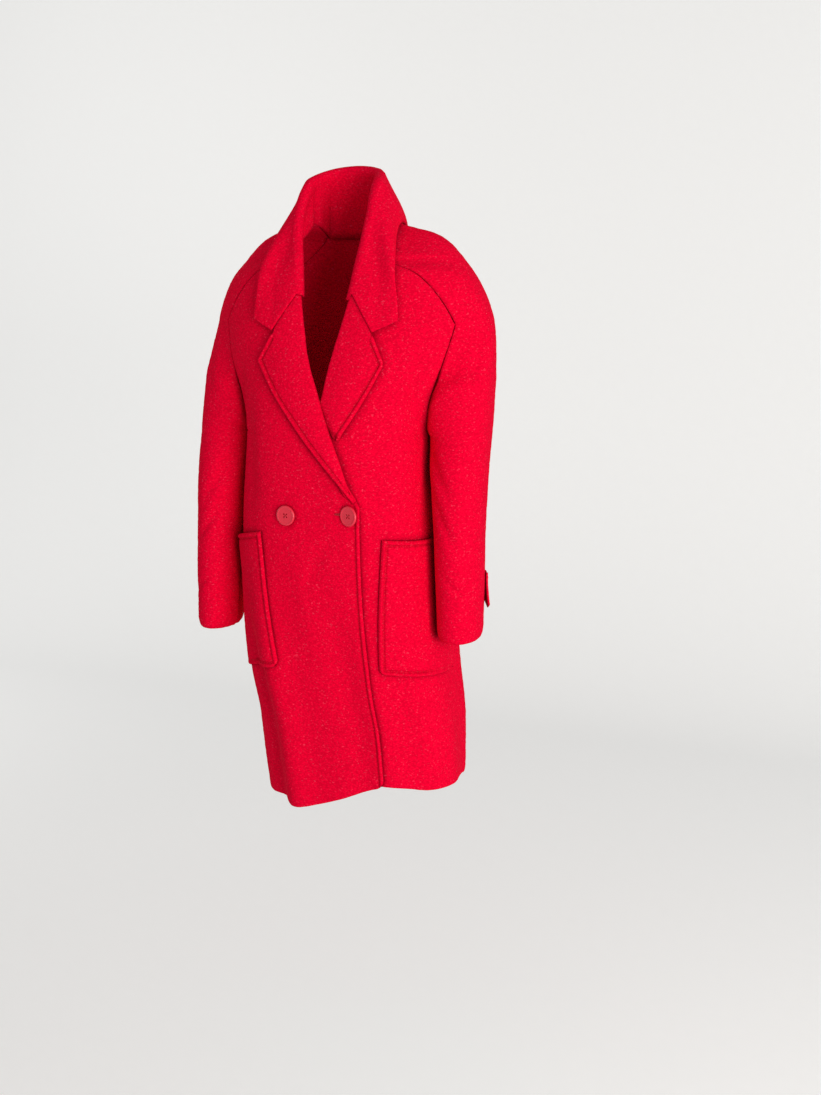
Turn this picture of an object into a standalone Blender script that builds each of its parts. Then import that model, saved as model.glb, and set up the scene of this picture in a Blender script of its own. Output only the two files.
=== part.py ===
"""A knee-length boucle coat with notched lapels, saddle shoulders and patch pockets.

The coat keeps the hollow form that it has when worn, and the wearer's right front laps over.
Metres, +Z up. The origin lies between the neck points of the shoulders, the front faces -Y
and +X is the wearer's left. Lengths named distance run along the cloth from the centre front
(or the centre back), positive to the wearer's left.
"""

import math

import bpy
import numpy as np

# Cloth and clearances
CLOTH = 0.003  # wall of the lined wool cloth
SEAM_GAP = 0.0003  # between the edges of two pieces at a seam
LAYER_GAP = 0.0006  # between two layers that lie on each other
LAP_GAP = 0.0016  # between the two fronts where they lap

# Heights of the main lines
HEM = -1.000
POCKET_FOOT = -0.752
POCKET_TOP = -0.520
BUTTON_LINE = -0.476
BREAK = -0.460  # where the lapel starts to turn out of the front edge
ARMHOLE_FOOT = -0.385  # the yoke and the saddles start here
UNDERARM = -0.350
CORNER = -0.163  # corner of the saddle seam and the armhole
FRONT_NECK = -0.058
BACK_NECK = -0.022
SHOULDER_TOP = -0.002
CUFFS = (("right", -1.0, -0.710), ("left", 1.0, -0.692))  # side, sign and cuff height

# Places along the cloth
FRONT_LAP = 0.084  # each front edge lies this far past the centre front
LAP_RISE = (-0.170, -0.100)  # the over-front lifts off the under-front between these distances
LAP_FADE = (-0.280, -0.210)  # and comes back to its own line between these heights
POCKET_INSET = 0.110  # centre front to the pocket's front edge
POCKET_WIDTH = 0.165
BUTTONS = (("right", -0.047), ("left", 0.065))  # distance of each button
SLEEVE_SWAY_FOOT = -0.475  # the sleeves sway with the body down to here, and hang straight below
SIDE_SEAM_BACK = 0.030  # the side seam lies this far behind the widest place
SIDE_SEAM_FADE = 0.100  # below the underarm, over which it gets there

# Rows and columns of points
BELOW_POCKET_ROWS = 5
POCKET_ROWS = 6
ABOVE_POCKET_ROWS = 5
ARMHOLE_ROWS = 11
YOKE_ROWS = 6
NECK_ROWS = 4
CROWN_ROWS = 5
TUBE_ROWS = 9
POCKET_COLUMNS = 7
LAP_COLUMNS = 7
BACK_COLUMNS = 15
SLEEVE_COLUMNS = 17
LATTICE_ROWS = 420
LATTICE_COLUMNS = 120
QUARTER_SAMPLES = 160

# Middle line of the body: depth in front and behind, squareness of the section, sway sideways
SECTION_COLUMNS = ("height", "front_y", "back_y", "squareness", "sway")
SECTIONS = (
    (-1.020, -0.119, 0.131, 2.9, 0.024),
    (-0.865, -0.130, 0.134, 3.0, 0.017),
    (-0.770, -0.137, 0.137, 3.0, 0.004),
    (-0.600, -0.143, 0.139, 2.9, -0.009),
    (-0.475, -0.144, 0.139, 2.8, -0.012),
    (-0.350, -0.142, 0.138, 2.9, -0.011),
    (-0.300, -0.138, 0.137, 2.7, -0.009),
    (-0.250, -0.132, 0.135, 2.45, -0.006),
    (-0.163, -0.115, 0.130, 2.3, 0.000),
    (-0.100, -0.099, 0.120, 2.2, 0.000),
    (-0.058, -0.083, 0.104, 2.2, 0.000),
    (-0.022, -0.060, 0.088, 2.2, 0.000),
    (0.000, -0.037, 0.078, 2.2, 0.000),
)

# Edge of the front and the back panel: side seam, then armhole, saddle seam and neck.
# turn is 1 where a panel runs round to the side and less where it ends before that.
SEAM_COLUMNS = ("height", "front_x", "front_y", "back_x", "back_y", "turn")
SEAMS = (
    (-1.020, 0.175, 0.007, 0.175, 0.007, 1.00),
    (-0.865, 0.181, 0.005, 0.181, 0.005, 1.00),
    (-0.770, 0.184, 0.004, 0.184, 0.004, 1.00),
    (-0.600, 0.178, 0.002, 0.178, 0.002, 1.00),
    (-0.475, 0.172, 0.002, 0.172, 0.002, 1.00),
    (-0.400, 0.165, 0.003, 0.165, 0.003, 1.00),
    (-0.350, 0.162, 0.003, 0.162, 0.003, 1.00),
    (-0.330, 0.164, -0.034, 0.167, 0.038, 0.99),
    (-0.290, 0.172, -0.054, 0.177, 0.060, 0.95),
    (-0.220, 0.194, -0.060, 0.195, 0.078, 0.88),
    (-0.163, 0.207, -0.052, 0.203, 0.080, 0.84),
    (-0.132, 0.190, -0.058, 0.186, 0.088, 0.80),
    (-0.100, 0.165, -0.064, 0.162, 0.093, 0.75),
    (-0.080, 0.140, -0.066, 0.142, 0.094, 0.70),
    (-0.058, 0.088, -0.064, 0.112, 0.092, 0.60),
    (-0.038, 0.081, -0.046, 0.089, 0.088, 0.60),
    (-0.022, 0.0765, -0.026, 0.074, 0.078, 0.60),
    (-0.010, 0.0735, -0.006, 0.0726, 0.050, 0.60),
    (-0.002, 0.0720, 0.004, 0.0720, 0.030, 0.60),
)

# Outer line of the sleeve and the shoulder
OUTER_COLUMNS = ("height", "x", "y")
OUTER = (
    (-0.710, 0.266, -0.047),
    (-0.600, 0.265, -0.042),
    (-0.475, 0.264, -0.032),
    (-0.350, 0.264, -0.018),
    (-0.250, 0.261, -0.004),
    (-0.200, 0.257, 0.005),
    (-0.163, 0.250, 0.010),
    (-0.132, 0.239, 0.014),
    (-0.100, 0.223, 0.016),
    (-0.072, 0.204, 0.017),
    (-0.052, 0.188, 0.017),
    (-0.032, 0.168, 0.017),
    (-0.018, 0.143, 0.017),
    (-0.010, 0.112, 0.017),
    (-0.002, 0.080, 0.017),
)

# Underarm line of the sleeve, and how deep the sleeve is to the front and to the back of its y
INNER_COLUMNS = ("height", "x", "y", "depth")
INNER = (
    (-0.710, 0.194, -0.047, 0.052),
    (-0.600, 0.187, -0.042, 0.056),
    (-0.475, 0.178, -0.032, 0.062),
    (-0.400, 0.168, -0.018, 0.066),
    (-0.350, 0.1626, 0.000, 0.072),
    (-0.290, 0.1626, 0.008, 0.079),
    (-0.163, 0.1626, 0.012, 0.084),
)

# How a sleeve's section bends: pulls at the seam and at the outer line over the shoulder, as
# shares of its span, and the least reach to the front or the back lower down
SHOULDER_PULLS = (0.45, 0.55)
LEAST_REACH = 0.012
FULL_PULL = 4.0 / 3.0  # a curve with two such pulls reaches as far as asked at its middle
SEAM_END = 0.985  # share of a panel's section where its last direction is read
SEAM_AGREE = (0.2, 0.6)  # panel and sleeve share a normal as their own agree from here to here
SLEEVE_GIRTH = 0.250

# Lapel roll line: how far it lies past the centre front at each height
ROLL_COLUMNS = ("height", "distance")
ROLL = (
    (-0.460, 0.084),
    (-0.283, 0.008),
    (-0.205, -0.022),
    (-0.128, -0.041),
    (-0.058, -0.0535),
)

# Hem height round the coat, along the cloth from the centre front
HEM_COLUMNS = ("distance", "height")
HEM_OVER = ((-0.300, -1.010), (-0.100, -1.008), (0.084, -0.952))
HEM_UNDER = ((-0.084, -0.957), (0.090, -0.953), (0.160, -0.962), (0.300, -0.967))
HEM_BACK = ((-0.260, -1.010), (0.000, -0.985), (0.260, -0.967))

# Large folds as (top, top height, foot, foot height, half width, rise): ridges have a positive
# rise, troughs a negative one
FRONT_FOLDS = (
    (-0.106, -0.530, -0.080, -1.020, 0.030, 0.011),
    (-0.158, -0.600, -0.130, -1.020, 0.030, -0.010),
    (0.030, -0.560, 0.052, -1.020, 0.034, -0.005),
    (0.125, -0.660, 0.140, -1.020, 0.034, -0.009),
)
BACK_FOLDS = (
    (-0.090, -0.300, -0.110, -1.020, 0.040, 0.007),
    (0.020, -0.380, 0.010, -1.020, 0.040, -0.006),
    (0.110, -0.340, 0.125, -1.020, 0.036, 0.006),
)

# Lapel and collar points as (distance from the centre front, height)
GORGE = (0.0484, -0.1171)
NOTCH = (0.085, -0.178)
LAPEL_TIP = (0.111, -0.217)
NOTCH_SHARE = 0.6  # where along the lapel's top the notch lies
LAPEL_START = 0.06  # share of the lapel's length left off at its narrow foot
LAPEL_SPRING = 0.005  # how far the lapel stands off the front
LAPEL_SPRING_SPAN = 0.85  # how much of a half wave that spring makes from roll to edge
LAPEL_TOP_BEND = 6  # power by which the bent top fades down the lapel
LAPEL_CLEAR = 0.003  # the left lapel keeps this far from the over-front's edge
LAPEL_FEET = {-1.0: (-FRONT_LAP, BREAK), 1.0: (0.040, -0.352)}  # where roll and edge meet

# Collar from the centre back to its front end: neck seam, roll line and outer edge
COLLAR_COLUMNS = ("seam_x", "seam_y", "seam_z", "roll_x", "roll_y", "roll_z", "edge_x", "edge_y", "edge_z")
COLLAR = (
    (0.0000, 0.083, -0.016, 0.0000, 0.060, 0.090, 0.0000, 0.1130, -0.038),
    (0.0340, 0.080, -0.016, 0.0260, 0.056, 0.088, 0.0370, 0.1100, -0.036),
    (0.0550, 0.070, -0.013, 0.0440, 0.042, 0.083, 0.0720, 0.0940, -0.026),
    (0.0655, 0.046, -0.003, 0.0545, 0.020, 0.076, 0.0890, 0.0510, -0.005),
    (0.0680, 0.014, 0.004, 0.0600, -0.006, 0.065, 0.0960, 0.0040, 0.001),
    (0.0705, -0.016, -0.010, 0.0615, -0.027, 0.044, 0.1060, -0.0400, -0.016),
    (0.0735, -0.040, -0.029, 0.0610, -0.046, 0.014, 0.1140, -0.0720, -0.050),
    (0.0690, -0.062, -0.048, 0.0575, -0.067, -0.026, 0.1190, -0.0900, -0.088),
    (0.0600, -0.070, -0.050, 0.0545, -0.0855, -0.056, 0.1225, -0.0990, -0.122),
    (0.0600, -0.070, -0.050, 0.0470, -0.1085, -0.115, 0.1245, -0.1085, -0.160),
)
STAND_END = 7  # the collar row where the stand stops at the front
STAND_INSET = 0.0028  # from the fall's roll line in to the stand
STAND_DROP = 0.004  # and down to the stand's top
NECK_MIDDLE = 0.010  # the neck's middle lies this far back
COLLAR_FULLNESS = 0.007  # how far the fall bows out between its roll and its edge
NOTCH_DROP = 0.036  # how far the collar's front end reaches down at the notch
COLLAR_SHIFT = (-0.009, -0.002)  # sideways, at the neck and at the front ends
SEAM_SHIFT_SHARE = 0.4  # the neck seam shifts less than the roll and the edge
NOTCH_PLACE = 0.50  # where along that end the notch lies
NOTCH_LENGTH = 0.10  # share of the collar's length that the drop fades over

# Buttons: profile of one half as (radius, height) above the cloth
BUTTON_RADIUS = 0.0172
BUTTON_HEIGHT = 0.0056
BUTTON_PROFILE = (
    (0.00, 0.00),
    (0.80, 0.00),
    (0.97, 0.22),
    (1.00, 0.50),
    (0.95, 0.86),
    (0.84, 1.00),
    (0.74, 0.92),
    (0.62, 0.62),
    (0.30, 0.52),
    (0.00, 0.50),
)
BUTTON_SIDES = 24

# Cuff tab: sewn in at its top, free at its pointed foot
TAB_RISE = 0.112  # from the cuff's edge up to the tab's top
CUFF_GIRTH = 0.28
TAB_LENGTH = 0.064
TAB_WIDTH = 0.030
TAB_POINT = 0.010
TAB_PLACE = 0.60  # share of the way round the sleeve from its front
TAB_STAND_OFF = 0.005

RED_WOOL = (0.72, 0.004, 0.022, 1.0)
RED_PLASTIC = (0.80, 0.010, 0.045, 1.0)
WOOL_ROUGHNESS = 0.85
PLASTIC_ROUGHNESS = 0.25
SHARP_ANGLE = math.radians(40.0)
PROBE = 0.002  # step for reading a surface's slope
AXIS_DROP = 0.100  # outward is read from the body's axis this far below each point


def smooth_step(value):
    """Return a share that eases from 0 to 1 as the value goes from 0 to 1."""
    share = np.clip(value, 0.0, 1.0)
    return share * share * (3.0 - 2.0 * share)


def smooth_through(places, values, corner=None):
    """Return a curve through the values that never overshoots, with a kink at the corner place."""
    order = np.argsort(places)
    x = np.asarray(places, float)[order]
    y = np.asarray(values, float)[order]
    step = np.diff(x)
    rise = np.diff(y) / step
    slope_in = np.concatenate([rise[:1], rise])
    slope_out = np.concatenate([rise, rise[-1:]])
    same_way = slope_in * slope_out > 0.0
    total = np.where(same_way, slope_in + slope_out, 1.0)
    slope = np.where(same_way, 2.0 * slope_in * slope_out / total, 0.0)
    slope[0] = rise[0]
    slope[-1] = rise[-1]
    kink = np.full(len(x), False) if corner is None else np.isclose(x, corner)
    slope_left = np.where(kink, slope_in, slope)
    slope_right = np.where(kink, slope_out, slope)

    def curve(at):
        at = np.clip(at, x[0], x[-1])
        i = np.clip(np.searchsorted(x, at) - 1, 0, len(step) - 1)
        t = (at - x[i]) / step[i]
        ease = t * t * (3.0 - 2.0 * t)
        start = t * (1.0 - t) ** 2 * step[i] * slope_right[i]
        end = t * t * (t - 1.0) * step[i] * slope_left[i + 1]
        return y[i] + (y[i + 1] - y[i]) * ease + start + end

    return curve


def table_curves(columns, rows, corner=None):
    """Return a curve for each column of a table, over its first column."""
    values = np.array(rows, float)
    return {name: smooth_through(values[:, 0], values[:, k], corner) for k, name in enumerate(columns)}


section = table_curves(SECTION_COLUMNS, SECTIONS)
seam = table_curves(SEAM_COLUMNS, SEAMS, CORNER)
outer = table_curves(OUTER_COLUMNS, OUTER)
inner = table_curves(INNER_COLUMNS, INNER)
roll = table_curves(ROLL_COLUMNS, ROLL)


def even_steps(points, count):
    """Return the line again with evenly spaced points, and its length."""
    lengths = np.linalg.norm(np.diff(points, axis=0), axis=1)
    along = np.concatenate([[0.0], np.cumsum(lengths)])
    at = np.linspace(0.0, along[-1], count)
    line = np.stack([np.interp(at, along, points[:, k]) for k in range(2)], axis=1)
    return line, along[-1]


def quarter_line(seam_x, seam_y, middle_y, turn, squareness):
    """Return one quarter of a body section, from its middle line to its seam."""
    samples = 0.5 - 0.5 * np.cos(np.linspace(0.0, math.pi, QUARTER_SAMPLES))
    angle = samples * math.asin(turn ** (squareness / 2.0))
    x = seam_x / turn * np.sin(angle) ** (2.0 / squareness)
    bow = np.cos(angle) ** (2.0 / squareness)
    share = (bow - bow[-1]) / (bow[0] - bow[-1])
    y = seam_y + (middle_y - seam_y) * share
    return even_steps(np.stack([x, y], axis=1), LATTICE_COLUMNS)


lattice_heights = np.linspace(SECTIONS[0][0], 0.0, LATTICE_ROWS)


def quarter_lattice(side):
    """Return the quarter sections of the front or the back at every lattice height."""
    lines = []
    lengths = []
    for height in lattice_heights:
        line, length = quarter_line(
            seam[side + "_x"](height),
            seam[side + "_y"](height),
            section[side + "_y"](height),
            seam["turn"](height),
            section["squareness"](height),
        )
        lines.append(line)
        lengths.append(length)
    return np.array(lines), np.array(lengths)


front_lines, front_lengths = quarter_lattice("front")
back_lines, back_lengths = quarter_lattice("back")


def lattice_point(lines, share, height):
    """Return the x and y of the point at a share of the way from the middle line to the seam."""
    row_step = lattice_heights[1] - lattice_heights[0]
    row = np.clip((height - lattice_heights[0]) / row_step, 0, LATTICE_ROWS - 1.001)
    column = np.clip(share * (LATTICE_COLUMNS - 1), 0, LATTICE_COLUMNS - 1.001)
    i = row.astype(int)
    j = column.astype(int)
    a = (row - i)[..., None]
    b = (column - j)[..., None]
    low = lines[i, j] * (1 - b) + lines[i, j + 1] * b
    high = lines[i + 1, j] * (1 - b) + lines[i + 1, j + 1] * b
    return low * (1 - a) + high * a


def front_length(height):
    """Return the length of cloth from the centre front to the side seam or the armhole."""
    return np.interp(height, lattice_heights, front_lengths)


def back_length(height):
    """Return the length of cloth from the centre back to the side seam or the armhole."""
    return np.interp(height, lattice_heights, back_lengths)


def seam_shift(height):
    """Return how far the side seam lies behind the widest place, fading to the armhole."""
    return SIDE_SEAM_BACK * smooth_step((UNDERARM - height) / SIDE_SEAM_FADE)


def fold_rise(folds, distance, height):
    """Return how far the folds lift or sink the cloth at a place."""
    total = np.zeros_like(distance)
    for top, top_height, foot, foot_height, half_width, rise in folds:
        along = np.clip((top_height - height) / (top_height - foot_height), 0.0, 1.0)
        across = (distance - (top + (foot - top) * along)) / half_width
        total = total + rise * smooth_step(along * 2.0) * np.exp(-across * across)
    return total


def plain_front(distance, height):
    """Return the points of the unfolded body, by distance from the centre front."""
    distance, height = np.broadcast_arrays(np.asarray(distance, float), np.asarray(height, float))
    length = front_length(height)
    away = np.abs(distance)
    before = lattice_point(front_lines, away / length, height)
    behind = lattice_point(back_lines, 1.0 - (away - length) / back_length(height), height)
    flat = np.where((away <= length)[..., None], before, behind)
    x = np.sign(distance) * flat[..., 0] + section["sway"](height)
    return np.stack([x, flat[..., 1], height], axis=-1)


def plain_back(distance, height):
    """Return the points of the unfolded body, by distance from the centre back."""
    distance, height = np.broadcast_arrays(np.asarray(distance, float), np.asarray(height, float))
    flat = lattice_point(back_lines, np.abs(distance) / back_length(height), height)
    x = np.sign(distance) * flat[..., 0] + section["sway"](height)
    return np.stack([x, flat[..., 1], height], axis=-1)


def unit(vectors):
    """Return the vectors with length 1."""
    return vectors / np.maximum(np.linalg.norm(vectors, axis=-1, keepdims=True), 1e-9)


def outward(place, first, second, middle):
    """Return the unit normals of a surface, pointing away from the middle point."""
    across = place(first + PROBE, second) - place(first - PROBE, second)
    along = place(first, second + PROBE) - place(first, second - PROBE)
    normal = unit(np.cross(across, along))
    away = place(first, second) - np.asarray(middle)
    facing = np.sign(np.sum(normal * away, axis=-1, keepdims=True))
    return normal * np.where(facing == 0.0, 1.0, facing)


def body_normal(place, distance, height):
    """Return the body's outward normals, read against its upright axis."""
    level = (np.asarray(height, float)[..., None] - AXIS_DROP) * np.array([0.0, 0.0, 1.0])
    return outward(place, distance, height, level)


def moved_out(place, distance, height, lift):
    """Return a body surface's points, moved out along its normals."""
    return place(distance, height) + body_normal(place, distance, height) * lift[..., None]


def front_place(distance, height):
    """Return points of the under-front's outer face, with the folds of both fronts."""
    return moved_out(plain_front, distance, height, fold_rise(FRONT_FOLDS, distance, height))


def over_place(distance, height):
    """Return points of the over-front's outer face, which lifts off the under-front at the lap."""
    start, end = LAP_RISE
    foot, top = LAP_FADE
    lap = smooth_step((distance - start) / (end - start)) * smooth_step((top - height) / (top - foot))
    return moved_out(front_place, distance, height, (CLOTH + LAP_GAP) * lap)


def back_place(distance, height):
    """Return points of the back's outer face with its folds."""
    return moved_out(plain_back, distance, height, fold_rise(BACK_FOLDS, distance, height))


def bezier(start, start_pull, end_pull, end, t):
    """Return the points of a cubic curve with the given pulls at its ends."""
    t = t[..., None]
    first = start * (1 - t) ** 3 + 3 * (start + start_pull) * t * (1 - t) ** 2
    second = 3 * (end + end_pull) * t * t * (1 - t) + end * t ** 3
    return first + second


def seam_direction(side, height):
    """Return the direction in which a panel's section runs where it meets the sleeve."""
    lines = front_lines if side == "front" else back_lines
    end = lattice_point(lines, np.ones_like(height), height)
    before = lattice_point(lines, np.full_like(height, SEAM_END), height)
    return unit(end - before)


def sleeve_half(side, height, t):
    """Return half of the sleeve's section, from its seam (t = 0) to its outer line (t = 1)."""
    sign = -1.0 if side == "front" else 1.0
    tube = height <= UNDERARM
    start_x = np.where(tube, inner["x"](height), seam[side + "_x"](height))
    start_y = np.where(tube, inner["y"](height), seam[side + "_y"](height))
    start = np.stack([start_x, start_y], axis=-1)
    end = np.stack([outer["x"](height), outer["y"](height)], axis=-1)
    crease = 1.0 - smooth_step((height - UNDERARM) / (CORNER - UNDERARM))
    outward_way = np.broadcast_to(np.array([0.0, sign]), start.shape)
    leave = unit(seam_direction(side, height) * (1 - crease)[..., None] + outward_way * crease[..., None])
    reach = inner["y"](height) + sign * inner["depth"](height)
    start_reach = np.maximum(sign * (reach - start[..., 1]), LEAST_REACH) * FULL_PULL
    end_reach = np.maximum(sign * (reach - end[..., 1]), LEAST_REACH) * FULL_PULL
    seam_share, outer_share = SHOULDER_PULLS
    seam_pull = seam_share * np.linalg.norm(end - start, axis=-1)
    outer_pull = outer_share * np.abs(end[..., 1] - start[..., 1])
    start_pull = (1 - crease) * seam_pull + crease * start_reach
    end_pull = (1 - crease) * outer_pull + crease * end_reach
    return bezier(start, leave * start_pull[..., None], outward_way * end_pull[..., None], end, t)


def sleeve_place(around, height, lift=0.0):
    """Return points of the left sleeve's outer face, from its front seam (0) to its back seam (1)."""
    around, height = np.broadcast_arrays(np.asarray(around, float), np.asarray(height, float))
    front = sleeve_half("front", height, np.clip(around * 2.0, 0.0, 1.0))
    back = sleeve_half("back", height, np.clip(2.0 - around * 2.0, 0.0, 1.0))
    flat = np.where((around <= 0.5)[..., None], front, back)
    points = np.concatenate([flat, height[..., None]], axis=-1)
    if np.any(lift):
        points = points + sleeve_normal(around, height) * np.asarray(lift)[..., None]
    return points


def sleeve_normal(around, height):
    """Return the sleeve's outward normals."""
    step = PROBE * 0.5
    top = np.minimum(height + step, SHOULDER_TOP)
    foot = height - step
    before = sleeve_place(np.clip(around - step, 0, 1), height)
    across = sleeve_place(np.clip(around + step, 0, 1), height) - before
    along = sleeve_place(around, top) - sleeve_place(around, foot)
    return unit(np.cross(across, along))


def make_material(name, colour, roughness):
    """Return a plain Principled material."""
    material = bpy.data.materials.new(name)
    material.use_nodes = True
    shader = material.node_tree.nodes["Principled BSDF"]
    shader.inputs["Base Color"].default_value = colour
    shader.inputs["Roughness"].default_value = roughness
    return material


def add_object(name, vertices, faces, colour, roughness):
    """Add one closed mesh as a named object with its own material."""
    mesh = bpy.data.meshes.new(name)
    mesh.from_pydata([tuple(v) for v in vertices], [], faces)
    mesh.update()
    mesh.shade_smooth()
    mesh.set_sharp_from_angle(angle=SHARP_ANGLE)
    mesh.materials.append(make_material(name, colour, roughness))
    item = bpy.data.objects.new(name, mesh)
    bpy.context.scene.collection.objects.link(item)
    return item


def grid_faces(rows, columns, start, flip, slant):
    """Return the triangles of a grid of points; slant picks the diagonal that splits each cell."""
    faces = []
    for i in range(rows - 1):
        for j in range(columns - 1):
            a = start + i * columns + j
            b, c, d = a + 1, a + columns + 1, a + columns
            pair = ((a, b, c), (a, c, d)) if slant else ((a, b, d), (b, c, d))
            faces += [face[::-1] if flip else face for face in pair]
    return faces


def rim_loop(rows, columns):
    """Return the indices round the edge of a grid of points."""
    bottom = list(range(columns))
    right = [i * columns + columns - 1 for i in range(1, rows)]
    top = [(rows - 1) * columns + j for j in range(columns - 2, -1, -1)]
    left = [i * columns for i in range(rows - 2, 0, -1)]
    return bottom + right + top + left


def signed_volume(vertices, faces):
    """Return the volume of a closed mesh, negative when it is inside out."""
    total = 0.0
    for face in faces:
        for k in range(1, len(face) - 1):
            corners = vertices[[face[0], face[k], face[k + 1]]]
            total += np.dot(corners[0], np.cross(corners[1], corners[2])) / 6.0
    return total


def add_wall(name, points, normals, slant=True):
    """Add a cloth piece: its outer points, and inner points one thickness behind them."""
    rows, columns = points.shape[:2]
    count = rows * columns
    outside = points.reshape(-1, 3)
    inside = (points - normals * CLOTH).reshape(-1, 3)
    vertices = np.concatenate([outside, inside])
    faces = grid_faces(rows, columns, 0, False, slant) + grid_faces(rows, columns, count, True, slant)
    rim = rim_loop(rows, columns)
    for k, a in enumerate(rim):
        b = rim[(k + 1) % len(rim)]
        faces += [(b, a, a + count), (b, a + count, b + count)]
    if signed_volume(vertices, faces) < 0.0:
        faces = [face[::-1] for face in faces]
    return add_object(name, vertices, faces, RED_WOOL, WOOL_ROUGHNESS)


def mirrored(points):
    """Return the points or vectors mirrored to the wearer's right."""
    return points * np.array([-1.0, 1.0, 1.0])


def on_side(sign, points, normals):
    """Return sleeve points and normals for one side, swayed with the upper body."""
    if sign < 0:
        points = mirrored(points)
        normals = mirrored(normals)
    swayed = points.copy()
    swayed[..., 0] += section["sway"](np.maximum(points[..., 2], SLEEVE_SWAY_FOOT))
    return swayed, normals


def skirt_rows():
    """Return row heights from the hem to below the armhole, with rows at the pocket's ends."""
    below = np.linspace(HEM, POCKET_FOOT, BELOW_POCKET_ROWS)
    beside = np.linspace(POCKET_FOOT, POCKET_TOP, POCKET_ROWS)
    above = np.linspace(POCKET_TOP, ARMHOLE_FOOT, ABOVE_POCKET_ROWS)
    return np.concatenate([below[:-1], beside, above[1:-1]])


def shoulder_rows(top):
    """Return the row heights that the panels and the sleeves share, up to a given height."""
    armhole = np.linspace(ARMHOLE_FOOT, CORNER, ARMHOLE_ROWS)
    yoke = np.linspace(CORNER, FRONT_NECK, YOKE_ROWS)
    neck = np.linspace(FRONT_NECK, BACK_NECK, NECK_ROWS)
    crown = np.linspace(BACK_NECK, SHOULDER_TOP, CROWN_ROWS)
    rows = np.concatenate([armhole, yoke[1:], neck[1:], crown[1:]])
    return rows[rows < top + 1e-6]


def body_rows(top):
    """Return row heights of a panel from the hem up."""
    return np.concatenate([skirt_rows(), shoulder_rows(top)])


def from_seam(heights):
    """Return row heights whose first row keeps clear of the piece below its seam."""
    return np.append(heights[0] + SEAM_GAP / 2, heights[1:])


def with_hem(height, distance, hem_table):
    """Return heights bent below the pockets so that the lowest row follows the hem."""
    hem = table_curves(HEM_COLUMNS, hem_table)["height"](distance)
    share = np.clip((POCKET_FOOT - height) / (POCKET_FOOT - HEM), 0.0, 1.0)
    return height + (hem - HEM) * share


def seam_normal(side, height):
    """Return the normal that a panel and the left sleeve share along their seam."""
    if side == "front":
        panel = body_normal(plain_front, front_length(height) - PROBE, height)
        sleeve = sleeve_normal(np.zeros_like(height), height)
    else:
        panel = body_normal(plain_back, back_length(height) - PROBE, height)
        sleeve = sleeve_normal(np.ones_like(height), height)
    least, full = SEAM_AGREE
    agree = smooth_step((np.sum(panel * sleeve, axis=-1, keepdims=True) - least) / (full - least))
    shared = unit(panel + sleeve)
    return unit(panel * (1 - agree) + shared * agree), unit(sleeve * (1 - agree) + shared * agree)


def front_distance(sign, height):
    """Return distances along a front: columns of the lap, of the pocket and at the side seam."""
    lap = np.linspace(-FRONT_LAP, FRONT_LAP, LAP_COLUMNS)
    pocket = POCKET_INSET + POCKET_WIDTH * np.linspace(0.0, 1.0, POCKET_COLUMNS)
    side = front_length(height) + seam_shift(height) - SEAM_GAP / 2
    level = np.minimum(height, BREAK)
    level_side = front_length(level) + seam_shift(level) - SEAM_GAP / 2
    fixed = np.broadcast_to(np.concatenate([lap, pocket]), height[:, :-1].shape)
    share = (fixed + FRONT_LAP) / (level_side[:, :-1] + FRONT_LAP)
    share = np.concatenate([share, np.ones_like(height[:, :1])], axis=1)
    bound = -roll["distance"](height)
    return sign * (bound + (side - bound) * share)


def back_distance(share, height):
    """Return distances along the back, from one side seam (-1) to the other (1)."""
    return share * (back_length(height) - seam_shift(height) - SEAM_GAP / 2)


def add_front(name, sign, hem_table):
    """Add one front; sign is -1 for the wearer's right front, which laps over."""
    heights = body_rows(FRONT_NECK)
    height = np.repeat(heights[:, None], LAP_COLUMNS + POCKET_COLUMNS + 1, axis=1)
    height = with_hem(height, front_distance(sign, height), hem_table)
    distance = front_distance(sign, height)
    place = over_place if sign < 0 else front_place
    points = place(distance, height)
    normals = body_normal(place, distance, height)
    upper = heights > UNDERARM
    shared = seam_normal("front", heights[upper])[0]
    normals[upper, -1] = shared if sign > 0 else mirrored(shared)
    add_wall(name, points, normals, sign > 0)


def add_back(name, heights):
    """Add one part of the back, between the two side seams or the two armholes."""
    share = np.linspace(-1.0, 1.0, BACK_COLUMNS)[None, :]
    height = np.repeat(heights[:, None], BACK_COLUMNS, axis=1)
    height = with_hem(height, back_distance(share, height), HEM_BACK)
    distance = back_distance(share, height)
    points = back_place(distance, height)
    normals = body_normal(back_place, distance, height)
    upper = heights > UNDERARM
    shared = seam_normal("back", heights[upper])[0]
    normals[upper, -1] = shared
    normals[upper, 0] = mirrored(shared)
    add_wall(name, points, normals)


def add_sleeve(name, sign, heights):
    """Add one part of a sleeve: its tube, with a seam at the underarm, or its saddle up to the neck."""
    trim = SEAM_GAP / SLEEVE_GIRTH
    share = np.linspace(trim, 1.0 - trim, SLEEVE_COLUMNS)
    around, height = np.meshgrid(share, heights)
    points = sleeve_place(around, height)
    normals = sleeve_normal(around, height)
    upper = heights > UNDERARM
    normals[upper, 0] = seam_normal("front", heights[upper])[1]
    normals[upper, -1] = seam_normal("back", heights[upper])[1]
    add_wall(name, *on_side(sign, points, normals))


def bent_line(start, middle, end, middle_share, share):
    """Return points along two straight stretches that meet at the middle point."""
    first = np.clip(share / middle_share, 0.0, 1.0)[..., None]
    second = np.clip((share - middle_share) / (1.0 - middle_share), 0.0, 1.0)[..., None]
    start, middle, end = np.array(start), np.array(middle), np.array(end)
    return start + (middle - start) * first + (end - middle) * second


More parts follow.
